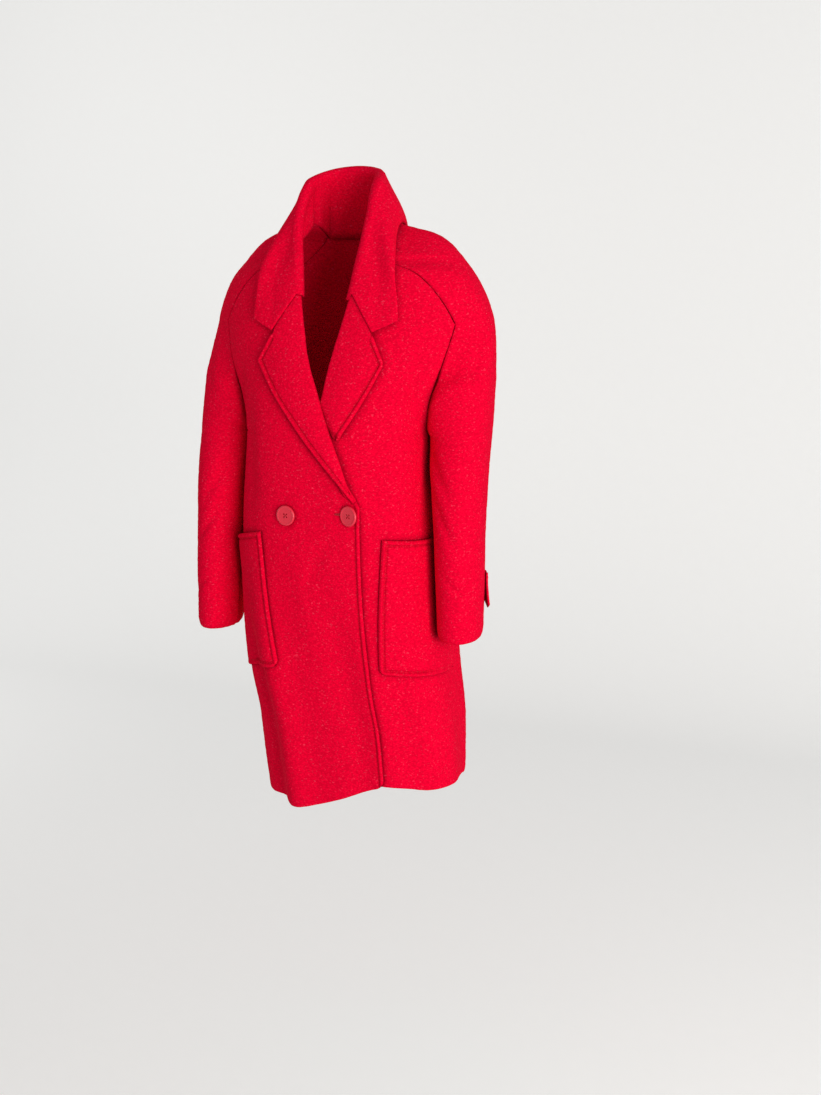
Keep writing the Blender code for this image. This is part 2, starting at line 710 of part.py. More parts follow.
def add_lapel(name, sign, rows=13, columns=6):
    """Add one lapel, turned out and lying on its front."""
    along = np.linspace(LAPEL_START, 1.0, rows)[:, None]
    across = np.linspace(0.0, 1.0, columns)[None, :]
    foot = LAPEL_FEET[sign]
    roll_height = foot[1] + (GORGE[1] - foot[1]) * along
    roll_place = -roll["distance"](roll_height)
    if sign > 0:
        roll_place = np.maximum(roll_place, roll["distance"](roll_height) + LAPEL_CLEAR)
    tip = np.array(LAPEL_TIP)
    edge_place = foot[0] + (tip[0] - foot[0]) * along
    edge_height = foot[1] + (tip[1] - foot[1]) * along
    place = roll_place + (edge_place - roll_place) * across
    height = roll_height + (edge_height - roll_height) * across
    top = bent_line(GORGE, NOTCH, LAPEL_TIP, NOTCH_SHARE, across[0])
    straight = np.array(GORGE) + (tip - np.array(GORGE)) * across[0][:, None]
    bend = (top - straight)[None] * (along**LAPEL_TOP_BEND)[..., None]
    distance = sign * (place + bend[..., 0])
    height = height + bend[..., 1]
    spring = LAPEL_SPRING * np.sin(math.pi * across * LAPEL_SPRING_SPAN) * np.ones_like(along)
    lift = LAYER_GAP + CLOTH + spring
    on_front = over_place if sign < 0 else front_place
    points = moved_out(on_front, distance, height, lift)
    normals = body_normal(on_front, distance, height)
    add_wall(name, points, normals, sign > 0)


def collar_lines(line, stations):
    """Return a named collar line of the table, from the right front end round to the left one."""
    start = COLLAR_COLUMNS.index(line + "_x")
    rows = np.array(COLLAR)[:, start : start + 3]
    whole = np.concatenate([mirrored(rows[:0:-1]), rows])
    place = np.arange(len(whole)) - (len(rows) - 1)
    curves = [smooth_through(place, whole[:, k]) for k in range(3)]
    points = np.stack([curve(stations) for curve in curves], axis=-1)
    neck_shift, end_shift = COLLAR_SHIFT
    share = smooth_step(np.abs(stations) / (len(rows) - 1) * 2.0 - 1.0)
    shift = neck_shift + (end_shift - neck_shift) * share
    points[..., 0] += shift * (SEAM_SHIFT_SHARE if line == "seam" else 1.0)
    return points


def add_collar_fall(name, rows=27, columns=7):
    """Add the fall of the collar, from its roll line to its outer edge."""
    ends = len(COLLAR) - 1
    stations = np.linspace(-ends, ends, rows)
    share = np.linspace(0.0, 1.0, columns)[None, :, None]
    roll_line = collar_lines("roll", stations)[:, None]
    edge_line = collar_lines("edge", stations)[:, None]
    along = np.gradient(roll_line[:, 0] + edge_line[:, 0], axis=0)[:, None]
    out = unit(np.cross(along, edge_line - roll_line))
    points = roll_line + (edge_line - roll_line) * share
    points = points + out * COLLAR_FULLNESS * 4.0 * share * (1.0 - share)
    end_share = np.clip(1.0 - (ends - np.abs(stations)) / (ends * NOTCH_LENGTH), 0.0, 1.0) ** 2
    at = share[0, :, 0]
    peak = np.minimum(at / NOTCH_PLACE, (1.0 - at) / (1.0 - NOTCH_PLACE))
    points[..., 2] -= NOTCH_DROP * end_share[:, None] * peak[None, :]
    normals = grid_normals(points)
    add_wall(name, points, normals)


def grid_normals(points):
    """Return the unit normals of a grid of points."""
    return unit(np.cross(np.gradient(points, axis=0), np.gradient(points, axis=1)))


def add_collar_stand(name, rows=23, columns=4):
    """Add the stand of the collar, from the neck seam up to the roll line."""
    stations = np.linspace(-STAND_END, STAND_END, rows)
    share = np.linspace(0.0, 1.0, columns)[None, :, None]
    seam_line = collar_lines("seam", stations)[:, None]
    roll_line = collar_lines("roll", stations)[:, None]
    inward = unit(np.array([0.0, NECK_MIDDLE, 0.0]) - roll_line * np.array([1.0, 1.0, 0.0]))
    top = roll_line + inward * STAND_INSET - np.array([0.0, 0.0, STAND_DROP])
    points = seam_line + (top - seam_line) * share
    normals = -grid_normals(points)
    add_wall(name, points, normals)


def add_pocket(name, sign):
    """Add one patch pocket, made from its front's points moved out."""
    inset = POCKET_INSET + POCKET_WIDTH * np.linspace(0.0, 1.0, POCKET_COLUMNS)
    distance, height = np.meshgrid(sign * inset, np.linspace(POCKET_FOOT, POCKET_TOP, POCKET_ROWS))
    on_front = over_place if sign < 0 else front_place
    lift = np.full_like(distance, LAYER_GAP + CLOTH)
    points = moved_out(on_front, distance, height, lift)
    normals = body_normal(on_front, distance, height)
    add_wall(name, points, normals, sign > 0)


def add_button(name, distance):
    """Add one turned button, lying on the over-front."""
    at = np.array([distance])
    height = np.array([BUTTON_LINE])
    base = moved_out(over_place, at, height, np.array([SEAM_GAP]))[0]
    axis = body_normal(over_place, at, height)[0]
    side = unit(np.cross(np.array([0.0, 0.0, 1.0]), axis))
    up = np.cross(axis, side)
    vertices = []
    for radius, rise in BUTTON_PROFILE:
        turns = 1 if radius == 0.0 else BUTTON_SIDES
        for k in range(turns):
            angle = 2.0 * math.pi * k / turns
            spoke = math.cos(angle) * side + math.sin(angle) * up
            vertices.append(base + spoke * radius * BUTTON_RADIUS + axis * rise * BUTTON_HEIGHT)
    faces = turned_faces(len(BUTTON_PROFILE) - 2, BUTTON_SIDES)
    vertices = np.array(vertices)
    if signed_volume(vertices, faces) < 0.0:
        faces = [face[::-1] for face in faces]
    add_object(name, vertices, faces, RED_PLASTIC, PLASTIC_ROUGHNESS)


def turned_faces(rings, sides):
    """Return the faces of a turned solid with a point at each end of its profile."""
    faces = []
    last = 1 + rings * sides
    for k in range(sides):
        after = (k + 1) % sides
        faces.append((0, 1 + after, 1 + k))
        for ring in range(rings - 1):
            low = 1 + ring * sides
            high = low + sides
            faces.append((low + k, low + after, high + after, high + k))
        top = 1 + (rings - 1) * sides
        faces.append((top + k, top + after, last))
    return faces


def add_cuff_tab(name, sign, top, rows=6, columns=5):
    """Add one cuff tab, with its free pointed foot standing off the sleeve."""
    down = np.linspace(0.0, 1.0, rows)[:, None]
    across = np.linspace(-1.0, 1.0, columns)[None, :]
    point = TAB_POINT * (1.0 - np.abs(across)) * down
    height = top - (TAB_LENGTH - TAB_POINT) * down - point
    around = TAB_PLACE + across * TAB_WIDTH / 2.0 / CUFF_GIRTH + 0.0 * down
    lift = LAYER_GAP + CLOTH + TAB_STAND_OFF * down ** 2 + 0.0 * across
    points = sleeve_place(around, height, lift)
    normals = sleeve_normal(around, height)
    add_wall(name, *on_side(sign, points, normals))


def clear_scene():
    """Remove every object from the scene."""
    for item in list(bpy.data.objects):
        bpy.data.objects.remove(item, do_unlink=True)


def main():
    """Build the whole coat."""
    clear_scene()
    add_front("front_right", -1.0, HEM_OVER)
    add_front("front_left", 1.0, HEM_UNDER)
    add_back("back", np.append(skirt_rows(), ARMHOLE_FOOT - SEAM_GAP / 2))
    add_back("back_yoke", from_seam(shoulder_rows(BACK_NECK)))
    for side, sign, cuff in CUFFS:
        add_sleeve("sleeve_" + side, sign, np.linspace(cuff, ARMHOLE_FOOT - SEAM_GAP / 2, TUBE_ROWS))
        add_sleeve("saddle_" + side, sign, from_seam(shoulder_rows(SHOULDER_TOP)))
        add_lapel("lapel_" + side, sign)
        add_pocket("pocket_" + side, sign)
        add_cuff_tab("cuff_tab_" + side, sign, cuff + TAB_RISE)
    for side, distance in BUTTONS:
        add_button("button_" + side, distance)
    add_collar_fall("collar_fall")
    add_collar_stand("collar_stand")


main()
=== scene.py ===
"""Dress the solids of a knee-length boucle coat in cloth, stitching and buttons.

Metres, +Z up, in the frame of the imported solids: the origin lies between the neck points of the
shoulders, the front faces -Y and +X is the wearer's left. Lengths named distance run along the
cloth from the centre front (or the centre back), positive to the wearer's left.
"""

import math

import bpy
import numpy as np
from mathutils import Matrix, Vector
from mathutils.kdtree import KDTree


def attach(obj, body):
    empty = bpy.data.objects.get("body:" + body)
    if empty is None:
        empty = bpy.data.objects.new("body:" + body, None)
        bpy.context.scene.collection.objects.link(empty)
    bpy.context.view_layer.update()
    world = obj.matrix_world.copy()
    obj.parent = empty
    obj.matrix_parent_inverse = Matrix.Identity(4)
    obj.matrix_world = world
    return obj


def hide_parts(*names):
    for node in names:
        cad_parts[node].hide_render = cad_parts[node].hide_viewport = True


bl_info = {
    "name": "Boucle Coat",
    "version": (1, 0, 0),
    "blender": (4, 5, 0),
    "location": "View3D > Sidebar > Coat",
    "description": "Dresses the solids of a boucle coat in cloth, stitching and buttons",
    "category": "Object",
}

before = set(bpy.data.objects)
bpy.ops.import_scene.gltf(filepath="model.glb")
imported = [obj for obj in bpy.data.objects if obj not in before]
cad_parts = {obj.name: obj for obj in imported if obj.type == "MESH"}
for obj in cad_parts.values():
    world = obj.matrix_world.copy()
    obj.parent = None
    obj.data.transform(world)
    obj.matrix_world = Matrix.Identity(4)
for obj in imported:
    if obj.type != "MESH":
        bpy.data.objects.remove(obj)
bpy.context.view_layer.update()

# Cloth and clearances
CLOTH = 0.003  # wall of the lined wool cloth
SEAM_GAP = 0.0003  # between the edges of two pieces at a seam
SEAM_ALLOWANCE = 0.0030  # cloth that runs on under the next piece at a seam
SEAM_TUCK = 0.0020  # and how far it sinks there
LAYER_GAP = 0.0006  # between two layers that lie on each other
LAP_GAP = 0.0016  # between the two fronts where they lap
TURNED = 0.0046  # double cloth of the collar and the lapels
TURNED_LIFT = 0.0060  # from a front to the outer face of a lapel that lies on it
COLLAR_REST = 0.0042  # from a shoulder to the outer face of the collar's edge
PATCH = 0.0040  # cloth of a pocket with its turned edges
PATCH_LIFT = 0.0048  # from a front to the outer face of a pocket

# Heights of the main lines
HEM = -1.000
POCKET_FOOT = -0.752
POCKET_TOP = -0.520
BUTTON_LINE = -0.478
BREAK = -0.460  # where the lapel starts to turn out of the front edge
UNDERARM = -0.350
CORNER = -0.163  # corner of the saddle seam and the armhole
FRONT_NECK = -0.058
BACK_NECK = -0.022
SHOULDER_TOP = -0.002
CUFFS = {"right": -0.710, "left": -0.692}

SIDES = (("right", -1.0), ("left", 1.0))  # the wearer's sides, and their signs along x

# Places along the cloth
LAP_RISE = (-0.170, -0.100)  # the over-front lifts off the under-front between these distances
LAP_FADE = (-0.280, -0.210)  # and comes back to its own line between these heights
# Centre front to each pocket's front edge, at its top and its foot
POCKET_INSET = {-1.0: (0.096, 0.076), 1.0: (0.119, 0.100)}
POCKET_WIDTH = 0.165
POCKET_TILT = {-1.0: -0.24, 1.0: -0.09}  # slope of each pocket towards the side
POCKET_RISE = {-1.0: -0.010, 1.0: 0.0}  # how far each pocket lies above its line
POCKET_WRAP = (0.075, 0.120)  # the pocket's edges lie flatter past these distances
POCKET_FLATNESS = 0.85  # share of their roll that they lose there
POCKET_MOUTH = 0.0034  # how far the pocket's top stands open
POCKET_MOUTH_DEPTH = 0.050  # and how far down that reaches
# Each button's distance, its rise above the button line, its lean to the right and its stand-off
BUTTONS = {"right": (-0.0445, 0.0, 0.0, 0.0003), "left": (0.0715, 0.0065, 30.0, 0.0062)}
SLEEVE_SWAY_FOOT = -0.475  # the sleeves sway with the body down to here, and hang straight below
NEAR_SEAM = 0.985  # share of the way to a seam from which its direction is read
LEAST_REACH = 0.012  # the sleeve's section swells at least this far past its seam
SADDLE_PULLS = (0.45, 0.55)  # roundness of the saddle at its seam and at its outer line
SIDE_SEAM_BACK = 0.030  # the side seam lies this far behind the widest place
SIDE_SEAM_FADE = 0.10  # and comes back to it over this height below the underarm

# Middle line of the body: depth in front and behind, squareness of the section, sway sideways
SECTION_COLUMNS = ("height", "front_y", "back_y", "squareness", "sway")
SECTIONS = (
    (-1.020, -0.119, 0.131, 2.9, 0.024),
    (-0.865, -0.130, 0.134, 3.0, 0.017),
    (-0.770, -0.137, 0.137, 3.0, 0.004),
    (-0.600, -0.143, 0.139, 2.9, -0.009),
    (-0.475, -0.144, 0.139, 2.8, -0.012),
    (-0.350, -0.142, 0.138, 2.9, -0.011),
    (-0.300, -0.138, 0.137, 2.7, -0.009),
    (-0.250, -0.132, 0.135, 2.45, -0.006),
    (-0.163, -0.115, 0.130, 2.3, 0.000),
    (-0.100, -0.099, 0.120, 2.2, 0.000),
    (-0.058, -0.083, 0.104, 2.2, 0.000),
    (-0.022, -0.060, 0.088, 2.2, 0.000),
    (0.000, -0.037, 0.078, 2.2, 0.000),
)

# Edge of the front and the back panel: side seam, then armhole, saddle seam and neck.
# turn is 1 where a panel runs round to the side and less where it ends before that.
SEAM_COLUMNS = ("height", "front_x", "front_y", "back_x", "back_y", "turn")
SEAMS = (
    (-1.020, 0.175, 0.007, 0.175, 0.007, 1.00),
    (-0.865, 0.181, 0.005, 0.181, 0.005, 1.00),
    (-0.770, 0.184, 0.004, 0.184, 0.004, 1.00),
    (-0.600, 0.178, 0.002, 0.178, 0.002, 1.00),
    (-0.475, 0.172, 0.002, 0.172, 0.002, 1.00),
    (-0.400, 0.165, 0.003, 0.165, 0.003, 1.00),
    (-0.350, 0.162, 0.003, 0.162, 0.003, 1.00),
    (-0.345, 0.1622, -0.013, 0.1630, 0.018, 0.9993),
    (-0.340, 0.1626, -0.024, 0.1642, 0.028, 0.9974),
    (-0.330, 0.164, -0.036, 0.167, 0.040, 0.99),
    (-0.290, 0.172, -0.054, 0.177, 0.060, 0.95),
    (-0.220, 0.194, -0.060, 0.195, 0.078, 0.88),
    (-0.163, 0.207, -0.052, 0.203, 0.080, 0.84),
    (-0.132, 0.190, -0.058, 0.186, 0.088, 0.80),
    (-0.100, 0.165, -0.064, 0.162, 0.093, 0.75),
    (-0.080, 0.140, -0.066, 0.142, 0.094, 0.70),
    (-0.058, 0.088, -0.064, 0.112, 0.092, 0.60),
    (-0.038, 0.081, -0.046, 0.089, 0.088, 0.60),
    (-0.022, 0.0765, -0.026, 0.074, 0.078, 0.60),
    (-0.010, 0.0735, -0.006, 0.0726, 0.050, 0.60),
    (-0.002, 0.0720, 0.004, 0.0720, 0.030, 0.60),
)

# Outer line of the sleeve and the shoulder
OUTER_COLUMNS = ("height", "x", "y")
OUTER = (
    (-0.710, 0.266, -0.047),
    (-0.600, 0.265, -0.042),
    (-0.475, 0.264, -0.032),
    (-0.350, 0.264, -0.018),
    (-0.250, 0.261, -0.004),
    (-0.200, 0.257, 0.005),
    (-0.163, 0.250, 0.010),
    (-0.132, 0.239, 0.014),
    (-0.100, 0.223, 0.016),
    (-0.072, 0.204, 0.017),
    (-0.052, 0.188, 0.017),
    (-0.032, 0.168, 0.017),
    (-0.018, 0.143, 0.017),
    (-0.010, 0.112, 0.017),
    (-0.002, 0.080, 0.017),
)

# Underarm line of the sleeve, and how deep the sleeve is to the front and to the back of its y
INNER_COLUMNS = ("height", "x", "y", "depth")
INNER = (
    (-0.710, 0.194, -0.047, 0.052),
    (-0.600, 0.187, -0.042, 0.056),
    (-0.475, 0.178, -0.032, 0.062),
    (-0.400, 0.168, -0.018, 0.066),
    (-0.350, 0.1626, 0.000, 0.072),
    (-0.290, 0.1626, 0.008, 0.079),
    (-0.163, 0.1626, 0.012, 0.084),
)

# Roll lines of the over lapel and the under lapel: how far each lies past the centre front
ROLL_COLUMNS = ("height", "distance")
ROLL_OVER = (
    (-0.460, 0.084),
    (-0.283, 0.012),
    (-0.205, -0.023),
    (-0.128, -0.041),
    (-0.058, -0.0535),
)
ROLL_UNDER = (
    (-0.460, 0.084),
    (-0.350, 0.022),
    (-0.283, -0.012),
    (-0.240, -0.0185),
    (-0.196, -0.0255),
    (-0.128, -0.041),
    (-0.058, -0.0535),
)
ROLLS = {-1.0: ROLL_OVER, 1.0: ROLL_UNDER}

# Hem height round the coat, along the cloth from the centre front or the centre back
HEM_COLUMNS = ("distance", "height")
HEM_OVER = ((-0.300, -1.010), (-0.100, -1.008), (0.084, -0.952))
HEM_UNDER = ((-0.084, -0.957), (0.090, -0.953), (0.160, -0.962), (0.300, -0.967))
HEM_BACK = ((-0.260, -1.010), (0.000, -0.985), (0.260, -0.967))

# Folds: top and its height, foot and its height, half width, rise and fades. Ridges have a positive
# rise, troughs a negative one; fades is 1 where a fold dies out before it reaches its foot and 0
# where it runs on into the hem.
FRONT_FOLDS = (
    (-0.106, -0.530, -0.080, -1.020, 0.030, 0.012, 0),
    (-0.158, -0.560, -0.130, -1.020, 0.030, -0.015, 0),
    (0.034, -0.560, 0.056, -1.020, 0.030, -0.008, 0),
    (0.125, -0.660, 0.140, -1.020, 0.034, -0.009, 0),
    (-0.138, -0.255, -0.116, -0.545, 0.019, -0.0050, 1),
    (0.166, -0.190, 0.170, -0.350, 0.012, -0.0045, 1),
    (-0.170, -0.200, -0.168, -0.340, 0.013, -0.0035, 1),
    (0.050, -0.485, -0.030, -0.620, 0.013, -0.0018, 1),
    (-0.030, -0.500, -0.010, -0.760, 0.020, 0.0022, 1),
    (0.120, -0.300, 0.098, -0.520, 0.022, -0.0028, 1),
    (0.235, -0.360, 0.212, -0.560, 0.018, -0.0040, 1),
    (-0.240, -0.370, -0.222, -0.540, 0.020, -0.0036, 1),
    (0.220, -0.770, 0.232, -1.020, 0.026, 0.0050, 0),
    (-0.225, -0.740, -0.215, -1.020, 0.024, 0.0040, 0),
)
BACK_FOLDS = (
    (-0.090, -0.300, -0.110, -1.020, 0.040, 0.007, 0),
    (0.020, -0.380, 0.010, -1.020, 0.040, -0.006, 0),
    (0.110, -0.340, 0.125, -1.020, 0.036, 0.006, 0),
    (-0.030, -0.190, -0.052, -0.620, 0.024, -0.0028, 1),
    (0.062, -0.240, 0.078, -0.700, 0.022, -0.0024, 1),
    (-0.168, -0.360, -0.182, -0.800, 0.020, -0.0036, 1),
    (0.172, -0.350, 0.180, -0.660, 0.018, -0.0032, 1),
    (-0.150, -0.180, -0.120, -0.330, 0.018, -0.0030, 1),
    (0.152, -0.200, 0.128, -0.360, 0.016, -0.0028, 1),
)
# Sleeve folds: top and foot are shares of the way round from the front seam
SLEEVE_FOLDS = {
    1.0: (
        (0.07, -0.350, 0.30, -0.470, 0.042, -0.0042, 1),
        (0.05, -0.410, 0.36, -0.560, 0.040, -0.0034, 1),
        (0.16, -0.560, 0.44, -0.640, 0.036, -0.0022, 1),
        (0.93, -0.350, 0.66, -0.500, 0.044, -0.0042, 1),
        (0.90, -0.450, 0.60, -0.590, 0.040, -0.0030, 1),
        (0.30, -0.120, 0.27, -0.330, 0.060, -0.0026, 1),
        (0.62, -0.150, 0.68, -0.360, 0.060, -0.0026, 1),
    ),
    -1.0: (
        (0.06, -0.360, 0.33, -0.500, 0.044, -0.0040, 1),
        (0.08, -0.450, 0.40, -0.570, 0.036, -0.0030, 1),
        (0.20, -0.600, 0.46, -0.655, 0.034, -0.0020, 1),
        (0.94, -0.340, 0.70, -0.480, 0.042, -0.0038, 1),
        (0.92, -0.430, 0.64, -0.600, 0.042, -0.0034, 1),
        (0.33, -0.140, 0.28, -0.340, 0.056, -0.0024, 1),
        (0.60, -0.130, 0.70, -0.330, 0.060, -0.0028, 1),
    ),
}

# How quickly a fold comes in below its top, and how quickly a fading one comes in and dies out
FOLD_START = 2.0
FADING_START = 2.6
FADING_END = 2.2

# Lapel and collar points as (distance from the centre front, height)
GORGE = (0.0484, -0.1171)
NOTCH = (0.087, -0.178)
LAPEL_TIP = (0.112, -0.226)
COLLAR_CORNER = (0.126, -0.160)
GORGE_TUCK = 0.0095  # the lapel's top runs this far up under the collar's end
GORGE_OVERLAP = 0.0040  # the part of the lapel's top that sinks there
GORGE_SINK = 0.0036  # and how far it sinks
GORGE_DIP = 0.0017  # the collar's end dips this far into the gorge
GORGE_BLEND = 0.0200  # over this length
GORGE_DROP = 0.0008  # the collar's end lies this far below the gorge line
NOTCH_SHARE = 0.6  # where along the lapel's top the notch lies
LAPEL_START = 0.03  # share of the lapel's length left off at its narrow foot
LAPEL_SPRING = 0.005  # how far the lapel stands off the front
LAPEL_BELLY = 0.004  # how far the lapel's edge bows out of a straight line
LAPEL_FEET = {-1.0: (-0.084, -0.460), 1.0: (0.046, -0.354)}
ROLL_RADIUS = 0.0047  # of the soft fold where a lapel turns over
ROLL_TRIM = 0.0075  # the front ends this far inside that fold
TRIM_START = 0.006  # that starts this far above the break
TRIM_EASE = 0.03  # and comes in over this height
ROLL_TURN_IN = 0.008  # cloth that runs on behind the front
LEAST_LAPEL = 0.004  # the lapel is nowhere narrower than this
NARROW_LAPEL = 0.030  # its edge is narrower too where the lapel is narrower than this
LAPEL_WIDTH = 0.10
LAPEL_EMERGE = 0.10  # share of its length over which it lifts off the front
LAPEL_STITCH_START = 0.12  # share of its length at which its topstitching starts
NOTCH_CLEAR = 0.02  # share of its top that the topstitching keeps from the notch
FOOT_LIFT = 0.25  # share of its lift that the lapel has at its narrow foot
SPRING_SPAN = 0.85  # share of a half wave that its stand-off follows from the roll to the edge
UNDER_TUCK = 0.001  # the under lapel starts this far under the over-front's roll
COVER_EASE = 0.010  # and its own roll fades out over this length where that covers it
ROLL_EMERGE = 0.05  # share of its length over which the roll grows round at the foot
ROLL_AT_FOOT = 0.3  # and how far on it is at the start
TUCK_EASE = 0.06  # share of its top over which the tuck under the collar fades at the notch
NOTCH_EASE = 0.04  # share of its top over which the stitched edge comes in past the notch
TOP_BEND = 6  # how late along the lapel the bend of its top comes in
SINK_EASE = 0.0030  # the sunk part of its top eases in over this length

# Collar from the centre back to its front end: neck seam, roll line and outer edge
COLLAR = (
    (0.0000, 0.083, -0.016, 0.0000, 0.060, 0.090, 0.0000, 0.1130, -0.038),
    (0.0340, 0.080, -0.016, 0.0260, 0.056, 0.088, 0.0370, 0.1100, -0.036),
    (0.0550, 0.070, -0.013, 0.0440, 0.042, 0.083, 0.0720, 0.0940, -0.026),
    (0.0655, 0.046, -0.003, 0.0545, 0.020, 0.076, 0.0890, 0.0510, -0.005),
    (0.0680, 0.014, 0.004, 0.0600, -0.006, 0.065, 0.0960, 0.0040, 0.001),
    (0.0705, -0.016, -0.010, 0.0615, -0.027, 0.044, 0.1060, -0.0400, -0.016),
    (0.0735, -0.040, -0.029, 0.0610, -0.046, 0.014, 0.1140, -0.0720, -0.050),
    (0.0690, -0.060, -0.046, 0.0575, -0.067, -0.026, 0.1190, -0.0900, -0.088),
    (0.0640, -0.076, -0.062, 0.0545, -0.0855, -0.056, 0.1225, -0.0990, -0.122),
    (0.0570, -0.1000, -0.112, 0.0470, -0.1085, -0.115, 0.1245, -0.1085, -0.160),
)
COLLAR_ENDS = len(COLLAR) - 1
COLLAR_ROW = 0.055  # about the length of one row of that table at its front end
COLLAR_LENGTH = 0.62
COLLAR_FALL = 0.11  # width of the fall
COLLAR_SHIFT = (-0.009, -0.002)  # sideways, at the neck and at the front ends
SEAM_SHIFT_SHARE = 0.4  # the neck seam shifts less than the roll and the edge
NECK_MIDDLE = 0.020  # the neck's middle lies this far back
COLLAR_FULLNESS = 0.0096  # pull that bows the fall out between its roll and its edge
COLLAR_PULL = 0.3  # roundness of the stand and the fall, as a share of their lengths
STAND_ROWS = 18
COLLAR_ROLL_RADIUS = 0.0048
COLLAR_ARC = np.linspace(0.0, math.pi, 10)[:-1]  # angles round the roll, from the stand to the fall
COLLAR_NOTCH_SHARE = 0.5  # where along the collar's end the notch lies
COLLAR_NOTCH_CLEAR = 0.03  # share of that end that the topstitching keeps from the notch
COLLAR_SETTLE = 2.4  # table rows over which the collar's front settles onto the lapel
STAND_SETTLE = 1.2  # and over which the foot of its stand goes in behind the lapel
NECK_SEWN = (5.5, 7.0)  # table rows over which the neck seam leaves the neck of the body
EDGE_RESTS = (5.0, 7.5)  # and over which the outer edge leaves the shoulders
EVEN_ROWS = 8  # rows of points to each side over which the resting edge is evened out

# Cuff tab: sewn in at its top, free at its pointed foot
TAB_RISE = 0.112  # from the cuff's edge up to the tab's top
CUFF_GIRTH = 0.28
TAB_LENGTH = 0.064
TAB_WIDTH = 0.030
TAB_POINT = 0.010
TAB_PLACE = 0.60  # share of the way round the sleeve from its front
TAB_STAND_OFF = 0.005
TAB_CLOTH = 0.0027
TAB_EDGE = 0.6  # width of its stitched edge beside the coat's other edges
TAB_PUFF = 0.8  # and how full that edge is

# Edges: distances from an edge at which columns of points lie, and how the cloth rises there
STITCHED_EDGE = np.array([0.0, 0.5, 1.2, 2.2, 3.4, 4.8, 6.2, 7.2, 8.0, 8.8, 9.6, 10.6, 12.2, 14.6]) * 0.001
STITCH_COLUMN = 9  # the column of these that the topstitching follows
# One topstitch: rings as (place along it, size) in shares of its length and the thread's width
STITCH_RINGS = ((-0.50, 0.15), (-0.36, 0.75), (0.0, 1.0), (0.36, 0.75), (0.50, 0.15))
STITCH_SIDES = 6
STITCH_SINK = 0.9  # share of the thread's width that a stitch's ends sink into the cloth
STITCH_PROBE = 0.001  # step for reading which way a line of stitching runs
PLAIN_EDGE = np.array([0.0, 0.6, 1.4, 2.4, 3.8, 5.4, 7.6, 10.4]) * 0.001
SEAM_EDGE = np.array([0.0, 0.9, 1.9, 3.1, 4.6, 6.6, 9.4]) * 0.001
EDGE_FADE = 0.010  # a front's stitched edge fades out this far below and above the break
STITCH_TOP = 0.004  # its topstitching ends this far below the break
STITCH_FOOT = 0.009  # and this far above the hem
EDGE_RADIUS = 0.0042
EDGE_DROP = 0.0026
EDGE_MIDDLE = 0.0044  # from the edge to the crest of its roll
EDGE_SPREAD = 0.0034
EDGE_PUFF = 0.0022
GROOVE_DEPTH = 0.0022
GROOVE_WIDTH = 0.0020
SEAM_DIP = 0.0016
SEAM_WIDTH = 0.0022
SEAM_PUFF = 0.0006
SEAM_PUFF_PLACE = 0.0060  # from the seam to where the cloth beside it is fullest
SEAM_PUFF_SPREAD = 0.0035
HEM_RADIUS = 0.0065
HEM_DROP = 0.0023
FRONT_CORNER = 0.014  # radius of a front's corner at the hem
POCKET_CORNER = 0.013  # radius of a pocket's two lower corners
LAPEL_CORNER = 0.006  # radius of a lapel's tip
BACK_COARSER = 1.1  # the back's points lie this much further apart
GIRTH_SAMPLES = 60  # points round a sleeve for measuring its girth
LEAST_GIRTH = 0.06  # the points lie no closer together than for this girth
CUFF_RADIUS = 0.022  # over this height a cuff turns in
CUFF_TURN = 0.009  # by this much at its edge
NUB_SQUEEZE = np.array([0.75, 0.75, 1.2])  # the nubs lie across the cloth
UNEVEN_SIZE = 0.085  # width of the slow unevenness of the cloth
UNEVEN_RISE = 0.0008
LINING_STRIDE = 4  # the lining has one point for this many of the face
PAINTED_SHADE_REACH = 0.014  # painted shade darkens the cloth's colour this far from where two layers meet

PROBE = 0.002  # step for reading a surface's slope
SHOULDER_FOOT = -0.200  # the collar may rest on the body above this height
SHOULDER_STEP = 0.004
SHOULDER_COLUMNS = 60
LATTICE_ROWS = 420
LATTICE_COLUMNS = 120
SECTION_SAMPLES = 160

# Camera: where the photograph was taken from
IMAGE = (821, 1095)
FOCAL_PIXELS = 1330.0
CAMERA_AZIMUTH = 23.0
CAMERA_DISTANCE = 2.3
CAMERA_HEIGHT = -0.05
CAMERA_TILT = 12.5
AXIS_COLUMN = 350.0  # image column of the coat's upright axis
FLOOR = -1.62
BACKDROP = (3.2, 3.4, 1.2, 7.0, -5.0)  # wall's depth and height, radius of its foot, half width, near edge

# Lights: name, place, target, size, power in watts and colour; the last two only light the wall
LIGHTS = (
    ("key", (2.55, -2.30, -0.35), (0.0, 0.0, -0.5), (1.8, 1.8), 92.0, "FFFCF8"),
    ("wall_left", (-3.0, 0.9, 0.2), (-1.05, 3.2, -0.3), (1.6, 2.4), 14.0, "FFFFFF"),
    ("wall_right", (3.0, 0.9, 0.2), (1.05, 3.2, -0.3), (1.6, 2.4), 9.0, "FFFFFF"),
)
AMBIENT = 0.56  # strength of the even light from all round
PAPER = ("F4F4F3", "F8F8F7")  # darkest and palest tone of the background paper
THREAD_STRAND_SHADE = "8E0012"  # painted shade between the strands of the sewing thread
DEEP_BUTTON = "CC1430"  # the clouding in a button


def linear(hex_colour):
    """Return the linear RGBA of an sRGB hex colour."""
    parts = [int(hex_colour[k : k + 2], 16) / 255.0 for k in (0, 2, 4)]
    return tuple(p / 12.92 if p <= 0.04045 else ((p + 0.055) / 1.055) ** 2.4 for p in parts) + (1.0,)


